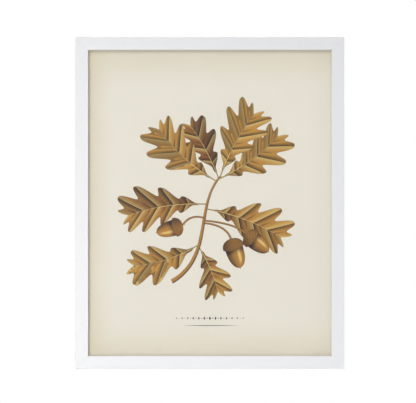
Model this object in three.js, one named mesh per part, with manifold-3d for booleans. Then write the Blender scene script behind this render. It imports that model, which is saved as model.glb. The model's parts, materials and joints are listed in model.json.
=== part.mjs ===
// A framed print, ready to hang: a white moulding with mitred corners holds clear acrylic, a 16 by 20 inch
// print, a filler board and a backing board. Eight turn buttons on screws keep the backing board in, a
// sawtooth hanger takes the nail, and two soft bumpers keep the lower edge off the wall.
//
// Millimetres. +X is the viewer's right, +Y goes back into the wall and +Z is up. The origin is the point
// on the wall's surface where the nail stands, under the middle notch of the hanger.
//
// Each rail is drawn lying along X with its outer edge at z = 0 and the window below it, and its group
// then turns it about Y into its place. What is screwed to the rail is drawn in that same rail space.

import * as THREE from "three";
import { mergeVertices } from "three/addons/utils/BufferGeometryUtils.js";
import Module from "manifold-3d";

const wasm = await Module();
wasm.setup();

// ---- driving dimensions ----

const PRINT_WIDTH = 406.4; // 16 inches
const PRINT_HEIGHT = 508; // 20 inches
const PLAY = 1.6; // the rabbet is this much wider and taller than what lies in it
const REST_GAP = 0.2; // between the lower rail and the boards that stand on it

const FACE = 20.5; // the moulding's width, seen from the front
const DEPTH = 16; // the moulding, front to back
const LIP = 6.5; // how far the moulding's lip covers the edge of the print
const LIP_THICKNESS = 5;
const OUTER_ROUND = 1; // the eased front edge on the outside
const INNER_ROUND = 0.7; // the eased front edge at the window
const MITRE_GAP = 0.12; // the glue line of a corner joint

const GLAZING = 2;
const PAPER = 0.3;
const FILLER = 4.7;
const BACKING = 3;
const SLIP = 0.15; // between one board and the next
const INK_ROOM = 0.25; // between the acrylic and the print

const BUMPER_HEIGHT = 3;
const BUMPER_RADIUS = 5;
const BUMPER_TOP_RADIUS = 4;
const BUMPER_FROM_END = 30;

const BUTTON = { pivotRadius: 5.5, tipRadius: 3.6, reach: 15, sheet: 1, lift: 0.9, clear: 0.2 };
const BUTTON_SCREW = { shank: 1.6, head: 3.3, headHeight: 1.25, length: 11, cross: 1.9, blade: 0.6 };
const HEAD_EDGE = 0.4; // the straight share of a screw head's height, below its dome
const RECESS_DEPTH = 0.6; // the share of a head's height that its cross is sunk
const SCREW_CLEARANCE = 0.2;

const HANGER = { length: 60, height: 10, sheet: 0.8, offset: 1.7, flatEnd: 12, ramp: 4, endRound: 3 };
const TOOTH = { pitch: 4, depth: 2, count: 7 };
const HANGER_SCREW = { shank: 1.2, head: 2.6, headHeight: 1, length: 9, cross: 1.5, blade: 0.5 };
const HANGER_SCREW_FROM_END = 6;
const HANGER_BELOW_EDGE = 2;

const NAIL_STRIP = { leg: 7, sheet: 0.6, height: 8, sunk: 0.2, clear: 0.2, fromEdge: [4, 9.6] };

const SEAT = 0.1; // what is pressed together stays this far apart
const ROUND_SIDES = 20; // flats round a screw, a screw's hole in the wood or a bumper
const CURVE_STEPS = 8; // flats to a half circle in the outline of a plate
const OVERSHOOT = 0.5; // how far a cutter sticks out of what it cuts
const WELD = 1e-4; // corners closer than this are one

// ---- what follows from them ----

const BACK_WIDTH = FACE - LIP; // the wood behind the rabbet
const FRAME_WIDTH = PRINT_WIDTH + PLAY + 2 * BACK_WIDTH;
const FRAME_HEIGHT = PRINT_HEIGHT + PLAY + 2 * BACK_WIDTH;
const TOP = HANGER_BELOW_EDGE + HANGER.height - TOOTH.depth; // the notch is at z = 0
const MIDDLE = TOP - FRAME_HEIGHT / 2;
const BACK = -BUMPER_HEIGHT; // the plane of the moulding's back
const FRONT = BACK - DEPTH;
const SCREW_LINE = BACK_WIDTH / 2; // from the outer edge to the screws of the turn buttons

// ---- solids ----

function solidOf(geometry) {
  const bare = geometry.index ? geometry.toNonIndexed() : geometry.clone();
  bare.deleteAttribute("normal");
  bare.deleteAttribute("uv");
  const merged = mergeVertices(bare, WELD);
  return new wasm.Manifold(
    new wasm.Mesh({
      numProp: 3,
      vertProperties: merged.attributes.position.array,
      triVerts: new Uint32Array(merged.index.array),
    }),
  );
}

function geometryOf(solid) {
  const mesh = solid.getMesh();
  const geometry = new THREE.BufferGeometry();
  geometry.setAttribute("position", new THREE.BufferAttribute(mesh.vertProperties, 3));
  geometry.setIndex(new THREE.BufferAttribute(mesh.triVerts, 1));
  geometry.computeVertexNormals();
  return geometry;
}

function without(geometry, cutters) {
  return geometryOf(cutters.reduce((left, cutter) => left.subtract(solidOf(cutter)), solidOf(geometry)));
}

function common(one, other) {
  return geometryOf(solidOf(one).intersect(solidOf(other)));
}

function polygon(points) {
  return new THREE.Shape(points.map(([x, y]) => new THREE.Vector2(x, y)));
}

// A shape drawn in x and z, from y = back - thickness to y = back.
function plate(shape, back, thickness) {
  const options = { depth: thickness, bevelEnabled: false, curveSegments: CURVE_STEPS };
  return new THREE.ExtrudeGeometry(shape, options).rotateX(Math.PI / 2).translate(0, back, 0);
}

function box(width, depth, height, x, y, z) {
  return new THREE.BoxGeometry(width, depth, height).translate(x, y, z);
}

// A round bar along Y, with its far end at y = back.
function pin(radius, length, x, back, z) {
  return new THREE.CylinderGeometry(radius, radius, length, ROUND_SIDES).translate(x, back - length / 2, z);
}

// ---- materials ----

const WHITE_LACQUER = new THREE.MeshStandardMaterial({ color: 0xedeef0, roughness: 0.45, metalness: 0 });
const ACRYLIC = new THREE.MeshStandardMaterial({
  color: 0xffffff,
  roughness: 0.05,
  metalness: 0,
  transparent: true,
  opacity: 0.12,
});
const AGED_PAPER = new THREE.MeshStandardMaterial({ color: 0xe6e1d5, roughness: 0.9, metalness: 0 });
const KRAFT_BOARD = new THREE.MeshStandardMaterial({ color: 0xb08a5c, roughness: 0.9, metalness: 0 });
const FIBREBOARD = new THREE.MeshStandardMaterial({ color: 0x9c7248, roughness: 0.75, metalness: 0 });
const ZINC_PLATE = new THREE.MeshStandardMaterial({ color: 0xc4c6c8, roughness: 0.35, metalness: 0.9 });
const SOFT_RUBBER = new THREE.MeshStandardMaterial({ color: 0x6f7275, roughness: 0.85, metalness: 0 });

function part(name, geometry, material) {
  const mesh = new THREE.Mesh(geometry, material);
  mesh.name = name;
  return mesh;
}

// ---- the moulding ----

// The section: x is the distance in from the outer edge and y is the depth.
function mouldingSection() {
  const shape = new THREE.Shape();
  shape.moveTo(0, BACK);
  shape.lineTo(0, FRONT + OUTER_ROUND);
  shape.absarc(OUTER_ROUND, FRONT + OUTER_ROUND, OUTER_ROUND, Math.PI, 1.5 * Math.PI, false);
  shape.absarc(FACE - INNER_ROUND, FRONT + INNER_ROUND, INNER_ROUND, 1.5 * Math.PI, 2 * Math.PI, false);
  shape.lineTo(FACE, FRONT + LIP_THICKNESS);
  shape.lineTo(BACK_WIDTH, FRONT + LIP_THICKNESS);
  shape.lineTo(BACK_WIDTH, BACK);
  return shape;
}

// The section drawn out along X, with each end cut back at 45 degrees by as much as it lies inwards.
function mitredBar(length) {
  const options = { depth: 1, bevelEnabled: false, curveSegments: 4 };
  const bar = new THREE.ExtrudeGeometry(mouldingSection(), options);
  const position = bar.attributes.position;
  for (let i = 0; i < position.count; i += 1) {
    const inwards = position.getX(i);
    const end = position.getZ(i) > 0.5 ? 1 : -1;
    position.setXYZ(i, end * (length / 2 - inwards - MITRE_GAP), position.getY(i), -inwards);
  }
  return bar;
}

// The slots that the corner nails are pressed into, at both ends of a rail.
function nailSlots(length) {
  const { leg, sheet, height, sunk, clear, fromEdge } = NAIL_STRIP;
  const slotHeight = OVERSHOOT + sunk + height + clear;
  const slotLength = leg + FACE;
  return fromEdge.flatMap((inwards) =>
    [-1, 1].map((end) => {
      const apex = length / 2 - inwards;
      const x = end * (apex - leg - clear + slotLength / 2);
      const y = BACK + OVERSHOOT - slotHeight / 2;
      return box(slotLength, slotHeight, sheet + 2 * clear, x, y, -inwards);
    }),
  );
}

function screwHole(screw, x, inwards) {
  const hole = screw.length + OVERSHOOT;
  return pin(screw.shank + SCREW_CLEARANCE, hole, x, BACK + OVERSHOOT, -inwards);
}

function rail(length, screwHoles) {
  return without(mitredBar(length), [...nailSlots(length), ...screwHoles]);
}

// A corner nail: a strip of steel bent square, with one leg in each rail.
function cornerNail(length, inwards) {
  const { leg, sheet, height, sunk } = NAIL_STRIP;
  const half = sheet / 2;
  const bent = polygon([
    [half, half],
    [-leg, half],
    [-leg, -half],
    [-half, -half],
    [-half, -leg],
    [half, -leg],
  ]);
  return plate(bent, BACK - sunk, height).translate(length / 2 - inwards, 0, -inwards);
}

// ---- screws ----

// The head's underside is at y = 0 and the point is at y = -length.
function panHeadScrew({ shank, head, headHeight, length, cross, blade }) {
  const profile = new THREE.Path();
  profile.moveTo(0, -length);
  profile.lineTo(shank, -length + 2 * shank);
  profile.lineTo(shank, 0);
  profile.lineTo(head, 0);
  profile.lineTo(head, HEAD_EDGE * headHeight);
  profile.quadraticCurveTo(head, headHeight, 0, headHeight);
  const body = new THREE.LatheGeometry(profile.getPoints(3), ROUND_SIDES);
  const deep = 2 * RECESS_DEPTH * headHeight;
  return without(body, [
    box(2 * cross, deep, blade, 0, headHeight, 0),
    box(blade, deep, 2 * cross, 0, headHeight, 0),
  ]);
}

// ---- the turn buttons ----

// Two circles and their tangents: the wide one turns on the screw, the narrow one is the tip.
function buttonOutline() {
  const { pivotRadius, tipRadius, reach } = BUTTON;
  const lean = Math.asin((pivotRadius - tipRadius) / reach);
  const shape = new THREE.Shape();
  shape.absarc(0, 0, pivotRadius, lean, Math.PI - lean, false);
  shape.absarc(0, -reach, tipRadius, Math.PI - lean, 2 * Math.PI + lean, false);
  const hole = new THREE.Path();
  hole.absarc(0, 0, BUTTON_SCREW.shank + SCREW_CLEARANCE, 0, 2 * Math.PI, true);
  shape.holes.push(hole);
  return shape;
}

// The sheet seen from its edge, with the tip bent up for the finger: x runs along it and y is the depth.
function buttonBend() {
  const { pivotRadius, tipRadius, reach, sheet, lift } = BUTTON;
  const heel = pivotRadius + OVERSHOOT;
  const toe = -reach - tipRadius - OVERSHOOT;
  const bendStart = -reach + 2 * lift;
  return polygon([
    [heel, 0],
    [bendStart, 0],
    [-reach, lift],
    [toe, lift],
    [toe, lift + sheet],
    [-reach, lift + sheet],
    [bendStart, sheet],
    [heel, sheet],
  ]);
}

// The pivot is at x = z = 0 and the underside at y = 0, with the tip pointing down.
function turnButton() {
  const width = 2 * (BUTTON.pivotRadius + OVERSHOOT);
  const height = BUTTON.sheet + BUTTON.lift;
  const strip = new THREE.ExtrudeGeometry(buttonBend(), { depth: width, bevelEnabled: false })
    .rotateY(-Math.PI / 2)
    .translate(width / 2, 0, 0);
  return common(strip, plate(buttonOutline(), height + OVERSHOOT, height + 2 * OVERSHOOT));
}

const BUTTON_UNDERSIDE = BACK + BUTTON.clear;
const BUTTON_HEAD_SEAT = BUTTON_UNDERSIDE + BUTTON.sheet + SEAT;

// ---- the hanger ----

// The strip as it is bent, seen from above: its ends lie on the wood and its middle stands off.
function hangerBend() {
  const { length, sheet, offset, flatEnd, ramp } = HANGER;
  const low = BACK + SEAT;
  const high = low + offset;
  const end = length / 2;
  const foot = end - flatEnd;
  const shoulder = foot - ramp;
  return polygon([
    [-end, low],
    [-foot, low],
    [-shoulder, high],
    [shoulder, high],
    [foot, low],
    [end, low],
    [end, low + sheet],
    [foot, low + sheet],
    [shoulder, high + sheet],
    [-shoulder, high + sheet],
    [-foot, low + sheet],
    [-end, low + sheet],
  ]);
}

// Round ends, two screw holes and a row of teeth. The root of the middle notch is at x = z = 0.
function hangerOutline() {
  const { length, height, endRound: round } = HANGER;
  const lower = -TOOTH.depth;
  const upper = lower + height;
  const end = length / 2;
  const shape = new THREE.Shape();
  shape.moveTo(-end + round, lower);
  for (let i = 0; i < TOOTH.count; i += 1) {
    const x = (i - (TOOTH.count - 1) / 2) * TOOTH.pitch;
    shape.lineTo(x - TOOTH.pitch / 2, lower);
    shape.lineTo(x, 0);
  }
  shape.lineTo((TOOTH.count * TOOTH.pitch) / 2, lower);
  shape.lineTo(end - round, lower);
  shape.absarc(end - round, lower + round, round, 1.5 * Math.PI, 2 * Math.PI, false);
  shape.absarc(end - round, upper - round, round, 0, 0.5 * Math.PI, false);
  shape.absarc(-end + round, upper - round, round, 0.5 * Math.PI, Math.PI, false);
  shape.absarc(-end + round, lower + round, round, Math.PI, 1.5 * Math.PI, false);
  for (const x of hangerScrewPlaces()) {
    const hole = new THREE.Path();
    hole.absarc(x, hangerMiddle(), HANGER_SCREW.shank + SCREW_CLEARANCE, 0, 2 * Math.PI, true);
    shape.holes.push(hole);
  }
  return shape;
}

function hangerScrewPlaces() {
  const x = HANGER.length / 2 - HANGER_SCREW_FROM_END;
  return [-x, x];
}

function hangerMiddle() {
  return HANGER.height / 2 - TOOTH.depth;
}

function sawtoothHanger() {
  const width = HANGER.height + 2 * OVERSHOOT;
  const strip = new THREE.ExtrudeGeometry(hangerBend(), { depth: width, bevelEnabled: false });
  strip.translate(0, 0, -TOOTH.depth - OVERSHOOT);
  return common(strip, plate(hangerOutline(), OVERSHOOT, BUMPER_HEIGHT + 2 * OVERSHOOT));
}

// ---- the bumpers ----

function bumper() {
  const profile = new THREE.Path();
  profile.moveTo(0, BACK + SEAT);
  profile.lineTo(BUMPER_RADIUS, BACK + SEAT);
  profile.lineTo(BUMPER_RADIUS, BUMPER_TOP_RADIUS - BUMPER_RADIUS);
  profile.quadraticCurveTo(BUMPER_RADIUS, 0, BUMPER_TOP_RADIUS, 0);
  profile.lineTo(0, 0);
  return new THREE.LatheGeometry(profile.getPoints(4), ROUND_SIDES);
}

// ---- one side of the frame: a rail, its two turn buttons and the nails of one corner ----

function side({ name, length, turn, x, z, corner, buttons, moreHoles = [] }) {
  const group = new THREE.Group();
  group.position.set(x, 0, z);
  group.rotation.y = THREE.MathUtils.degToRad(turn);
  const places = [-length / 4, length / 4];
  const holes = places.map((place) => screwHole(BUTTON_SCREW, place, SCREW_LINE));
  group.add(part(`rail_${name}`, rail(length, [...holes, ...moreHoles]), WHITE_LACQUER));
  places.forEach((place, i) => {
    const button = part(`turn_button_${buttons[i]}`, turnButton(), ZINC_PLATE);
    button.position.set(place, BUTTON_UNDERSIDE, -SCREW_LINE);
    const screw = part(`button_screw_${buttons[i]}`, panHeadScrew(BUTTON_SCREW), ZINC_PLATE);
    screw.position.set(place, BUTTON_HEAD_SEAT, -SCREW_LINE);
    group.add(button, screw);
  });
  NAIL_STRIP.fromEdge.forEach((inwards, i) => {
    const label = i === 0 ? "outer" : "inner";
    group.add(part(`corner_nail_${corner}_${label}`, cornerNail(length, inwards), ZINC_PLATE));
  });
  return group;
}

const SIDES = [
  {
    name: "top",
    length: FRAME_WIDTH,
    turn: 0,
    x: 0,
    z: TOP,
    corner: "top_right",
    buttons: ["top_left", "top_right"],
    moreHoles: hangerScrewPlaces().map((x) => screwHole(HANGER_SCREW, x, TOP - hangerMiddle())),
  },
  {
    name: "right",
    length: FRAME_HEIGHT,
    turn: 90,
    x: FRAME_WIDTH / 2,
    z: MIDDLE,
    corner: "bottom_right",
    buttons: ["right_upper", "right_lower"],
  },
  {
    name: "bottom",
    length: FRAME_WIDTH,
    turn: 180,
    x: 0,
    z: TOP - FRAME_HEIGHT,
    corner: "bottom_left",
    buttons: ["bottom_right", "bottom_left"],
  },
  {
    name: "left",
    length: FRAME_HEIGHT,
    turn: -90,
    x: -FRAME_WIDTH / 2,
    z: MIDDLE,
    corner: "top_left",
    buttons: ["left_lower", "left_upper"],
  },
];

// ---- the boards in the rabbet, from the lip backwards ----

function boards() {
  const z = MIDDLE - PLAY / 2 + REST_GAP;
  const layers = [
    { name: "glazing", thickness: GLAZING, before: SLIP, material: ACRYLIC },
    { name: "print", thickness: PAPER, before: INK_ROOM, material: AGED_PAPER },
    { name: "filler_board", thickness: FILLER, before: SLIP, material: KRAFT_BOARD },
    { name: "backing_board", thickness: BACKING, before: SLIP, material: FIBREBOARD },
  ];
  let front = FRONT + LIP_THICKNESS;
  return layers.map(({ name, thickness, before, material }) => {
    front += before;
    const sheet = box(PRINT_WIDTH, thickness, PRINT_HEIGHT, 0, front + thickness / 2, z);
    front += thickness;
    return part(name, sheet, material);
  });
}

// ---- the whole ----

const framedPrint = new THREE.Group();
framedPrint.add(...SIDES.map(side), ...boards());
framedPrint.add(part("sawtooth_hanger", sawtoothHanger(), ZINC_PLATE));
hangerScrewPlaces().forEach((x, i) => {
  const screw = part(`hanger_screw_${i === 0 ? "left" : "right"}`, panHeadScrew(HANGER_SCREW), ZINC_PLATE);
  screw.position.set(x, BACK + SEAT + HANGER.sheet + SEAT, hangerMiddle());
  framedPrint.add(screw);
});
[-1, 1].forEach((sign) => {
  const pad = part(`bumper_${sign < 0 ? "left" : "right"}`, bumper(), SOFT_RUBBER);
  pad.position.set(sign * (FRAME_WIDTH / 2 - BUMPER_FROM_END), 0, TOP - FRAME_HEIGHT + SCREW_LINE);
  framedPrint.add(pad);
});

export default framedPrint;
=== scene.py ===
# %% [markdown]
# # A framed botanical print
#
# The object is a white wooden frame that hangs on a wall. In it lie, from the front backwards, a sheet of
# clear acrylic, a print on toned cream paper, a filler board and a thin fibreboard back, which eight steel
# turn buttons keep in place. The print shows a sprig of oak in brown and ochre ink.
#
# The frame's solids already exist at their real size. This lesson dresses them: it gives each surface its
# finish, and makes finer meshes where a solid is too plain to be looked at from near by.

# %% Load the solids
import json
import math
import random

import bmesh
import bpy
from mathutils import Matrix, Vector

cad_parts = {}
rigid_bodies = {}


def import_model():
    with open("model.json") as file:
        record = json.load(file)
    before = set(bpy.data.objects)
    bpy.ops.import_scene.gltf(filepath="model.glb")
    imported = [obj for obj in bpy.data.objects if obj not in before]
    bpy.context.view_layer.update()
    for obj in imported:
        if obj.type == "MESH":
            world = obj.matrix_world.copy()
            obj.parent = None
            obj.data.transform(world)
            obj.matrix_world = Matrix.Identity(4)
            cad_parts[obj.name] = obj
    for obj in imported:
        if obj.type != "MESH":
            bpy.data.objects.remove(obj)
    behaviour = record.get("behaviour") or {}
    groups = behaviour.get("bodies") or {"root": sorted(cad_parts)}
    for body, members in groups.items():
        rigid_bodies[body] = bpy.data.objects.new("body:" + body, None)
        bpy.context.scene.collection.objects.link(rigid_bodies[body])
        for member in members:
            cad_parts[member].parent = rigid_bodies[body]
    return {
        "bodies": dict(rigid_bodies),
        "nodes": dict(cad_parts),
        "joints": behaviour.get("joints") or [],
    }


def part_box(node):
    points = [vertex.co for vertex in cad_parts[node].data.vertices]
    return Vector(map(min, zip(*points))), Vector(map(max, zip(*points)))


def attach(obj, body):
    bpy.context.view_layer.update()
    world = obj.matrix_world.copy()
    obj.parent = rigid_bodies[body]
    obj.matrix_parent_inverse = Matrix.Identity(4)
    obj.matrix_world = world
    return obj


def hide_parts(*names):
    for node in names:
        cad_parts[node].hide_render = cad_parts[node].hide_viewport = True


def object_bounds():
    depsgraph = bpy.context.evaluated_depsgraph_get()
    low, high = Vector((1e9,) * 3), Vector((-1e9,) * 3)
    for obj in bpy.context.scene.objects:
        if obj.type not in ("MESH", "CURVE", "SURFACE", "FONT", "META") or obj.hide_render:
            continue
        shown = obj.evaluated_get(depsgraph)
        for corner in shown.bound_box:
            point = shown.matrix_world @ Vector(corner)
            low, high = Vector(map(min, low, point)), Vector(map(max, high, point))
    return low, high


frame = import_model()
cad_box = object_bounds()

# %% [markdown]
# ## Sizes
#
# Blender works in metres and a frame maker in millimetres, so every size below is written as a number of
# millimetres times MM. The places of things are read from the solids, so that nothing has to be fitted.

# %% Sizes that come from the solids
MM = 0.001

FRAME_LOW, FRAME_HIGH = cad_box
RAIL_TOP_LOW, RAIL_TOP_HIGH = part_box("rail_top")
FRONT = RAIL_TOP_LOW.y
BACK = RAIL_TOP_HIGH.y
FACE_WIDTH = RAIL_TOP_HIGH.z - RAIL_TOP_LOW.z
FRAME_WIDTH = FRAME_HIGH.x - FRAME_LOW.x
FRAME_HEIGHT = FRAME_HIGH.z - FRAME_LOW.z
MIDDLE = (FRAME_LOW.z + FRAME_HIGH.z) / 2
WINDOW = (FRAME_WIDTH / 2 - FACE_WIDTH, FRAME_HEIGHT / 2 - FACE_WIDTH)
PAPER_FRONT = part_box("print")[0].y
print(f"frame {FRAME_WIDTH / MM:.1f} x {FRAME_HEIGHT / MM:.1f} mm, window half sizes",
      [round(size / MM, 1) for size in WINDOW])


# %% [markdown]
# ## Writing nodes as sums
#
# Materials and Geometry Nodes are both trees of nodes. Written out node by node, even a short formula takes
# a page. Here a Value stands for a socket, and adding or multiplying Values adds the Math nodes, so that a
# formula in a node tree reads like one in Python.


# %% A socket that can be added and multiplied
def adds(operation, swapped=False):
    """A method that adds a Math node, with the Value as its first number, or as its last if swapped."""
    def method(self, *others):
        operands = (*others, self) if swapped else (self, *others)
        return self.tree.node("ShaderNodeMath", {"operation": operation}, dict(enumerate(operands)))

    return method


class Value:
    def __init__(self, tree, socket):
        self.tree = tree
        self.socket = socket

    __add__ = __radd__ = adds("ADD")
    __sub__ = adds("SUBTRACT")
    __rsub__ = adds("SUBTRACT", swapped=True)
    __mul__ = __rmul__ = adds("MULTIPLY")
    __truediv__ = adds("DIVIDE")
    __pow__ = adds("POWER")
    __mod__ = adds("FLOORED_MODULO")
    __abs__ = adds("ABSOLUTE")
    __lt__ = adds("LESS_THAN")
    __gt__ = adds("GREATER_THAN")
    at_most = adds("MINIMUM")
    at_least = adds("MAXIMUM")
    fraction = adds("FRACT")
    sign = adds("SIGN")
    sine = adds("SINE")
    cosine = adds("COSINE")
    arcsine = adds("ARCSINE")


named = [name for name in vars(Value) if not name.startswith("_")]
print("besides what the signs do, a Value knows:", ", ".join(named))


# %% A node tree that is fed with values, links or both
class Wiring:
    def __init__(self, nodes):
        self.nodes = nodes

    def add(self, kind, settings=None, inputs=None):
        """Adds a node. Its settings come first, because they decide which sockets it has."""
        made = self.nodes.nodes.new(kind)
        for name, value in (settings or {}).items():
            if name == "stops":
                self.set_stops(made.color_ramp, value)
            else:
                setattr(made, name, value)
        for key, value in (inputs or {}).items():
            self.feed(self.pick(made.inputs, key), value)
        return made

    def node(self, kind, settings=None, inputs=None, output=0):
        """Adds a node, and gives back one of its outputs, to count on with."""
        return Value(self, self.pick(self.add(kind, settings, inputs).outputs, output))

    @staticmethod
    def pick(sockets, key):
        """The socket with this name or this number, among those that the node shows."""
        shown = [socket for socket in sockets if socket.enabled]
        if isinstance(key, int):
            return shown[key]
        return next(socket for socket in shown if socket.name == key)

    @staticmethod
    def set_stops(ramp, stops):
        while len(ramp.elements) < len(stops):
            ramp.elements.new(1.0)
        for element, (position, colour) in zip(ramp.elements, stops):
            element.position = position
            element.color = (*colour, 1.0)

    def feed(self, socket, value):
        """Links a Value, or each of a list of them, to the socket, or sets the socket's own number."""
        if isinstance(value, list):
            for each in value:
                self.feed(socket, each)
        elif isinstance(value, Value):
            self.nodes.links.new(value.socket, socket)
        elif socket.type == "RGBA":
            socket.default_value = (*value, 1.0)
        else:
            socket.default_value = value


trial = Wiring(bpy.data.node_groups.new("trial", "ShaderNodeTree"))
answer = 1 - 0.5 * trial.node("ShaderNodeValue")
print("1 - 0.5 * number:", len(trial.nodes.nodes), "nodes, the last one is", answer.socket.node.operation)
bpy.data.node_groups.remove(trial.nodes)


# %% Vectors, colours and patterns
class Tree(Wiring):
    def split(self, vector):
        """The three numbers of a vector."""
        parts = self.add("ShaderNodeSeparateXYZ", None, {"Vector": vector})
        return [Value(self, socket) for socket in parts.outputs]

    def join(self, x, y, z):
        return self.node("ShaderNodeCombineXYZ", None, {"X": x, "Y": y, "Z": z})

    def vector(self, operation, *operands):
        return self.node("ShaderNodeVectorMath", {"operation": operation}, dict(enumerate(operands)))

    def smooth(self, value, start, end):
        """Runs from 0 to 1, gently, as value goes from start to end, and stays there beyond them."""
        settings = {"interpolation_type": "SMOOTHSTEP"}
        inputs = {"Value": value, "From Min": start, "From Max": end}
        return self.node("ShaderNodeMapRange", settings, inputs)

    def mix(self, factor, colour, other, blend="MIX"):
        settings = {"data_type": "RGBA", "blend_type": blend}
        return self.node("ShaderNodeMix", settings, {"Factor": factor, "A": colour, "B": other})

    def grey(self, value):
        """A number as a colour, to multiply another colour with."""
        return self.node("ShaderNodeCombineColor", None, {"Red": value, "Green": value, "Blue": value})

    def noise(self, vector, scale, detail=2.0, roughness=0.5):
        """Cloudy numbers round 0.5. Where the vector is in metres, its spots are 1 / scale metres wide."""
        inputs = {"Vector": vector, "Scale": scale, "Detail": detail, "Roughness": roughness}
        return self.node("ShaderNodeTexNoise", None, inputs)


print("a Tree also knows:", ", ".join(name for name in vars(Tree) if not name.startswith("_")))

# %% [markdown]
# ## Materials
#
# A finish is a Principled shader with a little variety in its colour, its gloss and its relief. The patterns
# read Object coordinates, which are metres here, so a noise of scale 1000 has spots of about a millimetre.


# %% What every material is made from
def srgb(red, green, blue):
    """A colour given as a screen shows it, from 0 to 255, as the linear light that a shader wants."""
    return tuple(((c / 255 + 0.055) / 1.055) ** 2.4 for c in (red, green, blue))


class Finish(Tree):
    def __init__(self, name):
        self.material = bpy.data.materials.new(name)
        self.material.use_nodes = True
        super().__init__(self.material.node_tree)
        self.nodes.nodes.clear()

    def place(self):
        return self.node("ShaderNodeTexCoord", output="Object")

    def attribute(self, name, output="Fac"):
        return self.node("ShaderNodeAttribute", {"attribute_name": name}, output=output)

    def attributes(self, *names):
        return [self.attribute(name) for name in names]

    def stretched(self, vector, *scales):
        return self.vector("MULTIPLY", vector, scales)

    def bump(self, height, depth):
        """Relief of this depth in metres where height goes from 0 to 1."""
        return self.node("ShaderNodeBump", None, {"Strength": 1.0, "Distance": depth, "Height": height})

    def show(self, shader):
        """The material itself, once this shader is its surface."""
        self.add("ShaderNodeOutputMaterial", None, {"Surface": shader})
        print(f"{self.material.name}: {len(self.nodes.nodes)} nodes")
        return self.material

    def principled(self, **inputs):
        """A material with one Principled shader, whose sockets are fed by their names."""
        named = {name.replace("_", " ").title(): value for name, value in inputs.items()}
        named = {name.replace("Ior", "IOR"): value for name, value in named.items()}
        return self.show(self.node("ShaderNodeBsdfPrincipled", None, named))


print("a grey of 128 on a screen is", round(srgb(128, 128, 128)[0], 3), "of the light of white")

# %% [markdown]
# ### White lacquer
#
# Sprayed lacquer is nearly flat: it pulls into a very fine orange peel, and the wood below shows through as
# faint long lines. The lines have to follow each rail, so the pattern reads an attribute, "grain", that the
# rail meshes carry: the way along the rail, the depth in it and the way across it. On the back, where the
# coat is thin, the lines are stronger, the gloss is lower and the colour is warmer.

# %% The lacquer of the moulding
THINS_FROM = BACK - 0.4 * MM
THIN_FROM = BACK - 0.1 * MM
LACQUER_RELIEF = 0.02 * MM


def white_lacquer():
    finish = Finish("white_lacquer")
    grain = finish.attribute("grain", "Vector")
    depth = finish.split(finish.place())[1]
    thin = finish.smooth(depth, THINS_FROM, THIN_FROM)
    lines = finish.noise(finish.stretched(grain, 14, 1500, 1500), 1.0, 4.0, 0.6)
    clouds = finish.noise(finish.stretched(grain, 6, 40, 40), 1.0, 3.0)
    peel = finish.noise(finish.place(), 1400, 1.0)
    coat = finish.mix(clouds, (0.79, 0.793, 0.805), (0.81, 0.813, 0.823))
    primer = finish.mix(finish.smooth(lines, 0.42, 0.62), srgb(226, 220, 207), srgb(206, 193, 170))
    relief = lines * (0.25 + 0.75 * thin) + peel * 0.35 * (1 - thin)
    return finish.principled(
        base_color=finish.mix(thin, coat, primer),
        roughness=0.36 + 0.06 * clouds + 0.26 * thin,
        normal=finish.bump(relief, LACQUER_RELIEF),
    )


LACQUER = white_lacquer()

# %% [markdown]
# ### Clear acrylic
#
# A clear sheet lets nearly everything through and mirrors a little, more so at a slant. Its front is finely
# etched, so that it spreads a lamp's image into a soft veil and doesn't mirror the room. A shader that bends
# light would keep the lamps from the print, so the sheet is a mix of a Transparent and a Glossy one.
# The share that it mirrors is Schlick's rule: 4 % straight on, and the rest with the fifth power of the
# slant. A Fresnel node would also do, but it darkens the print, because it takes light that leaves the
# sheet at a slant to be mirrored wholly, as it would be if the sheet had bent it.

# %% The glazing
MIRRORED_STRAIGHT_ON = 0.04


def clear_acrylic():
    finish = Finish("clear_acrylic")
    ripple = finish.bump(finish.noise(finish.place(), 9, 2.0), 0.02 * MM)
    through = finish.node("ShaderNodeBsdfTransparent", None, {"Color": (0.99, 0.995, 0.993)})
    mirror = finish.node("ShaderNodeBsdfGlossy", None, {"Roughness": 0.2, "Normal": ripple})
    slant = finish.node("ShaderNodeLayerWeight", None, {"Blend": 0.5}, "Facing")
    share = MIRRORED_STRAIGHT_ON + (1 - MIRRORED_STRAIGHT_ON) * slant**5
    both = finish.node("ShaderNodeMixShader", None, {0: share, 1: through, 2: mirror})
    return finish.show(both)


ACRYLIC = clear_acrylic()

# %% [markdown]
# ### Toned paper
#
# Old paper darkens from its edges inwards, where the air reaches it: the print has a cream middle and
# tanned borders, and its corners are darkest because two borders meet there. The left border has tanned
# much more than the right one, and the top a little more than the bottom. The whole sheet is also a little
# darker towards its left. Towards its top it is painted lighter, as painted light that makes up for the key
# lamp's weaker light there. A painted picture could hold all this, but a formula stays sharp from near by:
# each border is a gentle ramp from the window's edge, noise moves the borders a little and clouds the
# middle, and short fibres give the surface its tooth.

# %% The paper of the print
CREAM = srgb(238, 231, 218)
TANNED = srgb(224, 211, 185)
BORDER_SIDE = 42 * MM
BORDER_END = 62 * MM
UNDER_LIP = -12 * MM
DRIFT = 16 * MM
LEFT_TAN, RIGHT_TAN = 0.9, 0.1
TOP_TAN, BOTTOM_TAN = 0.65, 0.6
# How much darker the sheet is towards its left, and how much painted light makes it lighter towards its top.
LEFT_DARKER, PAINTED_LIGHT_AT_TOP = 0.055, 0.07


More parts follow.
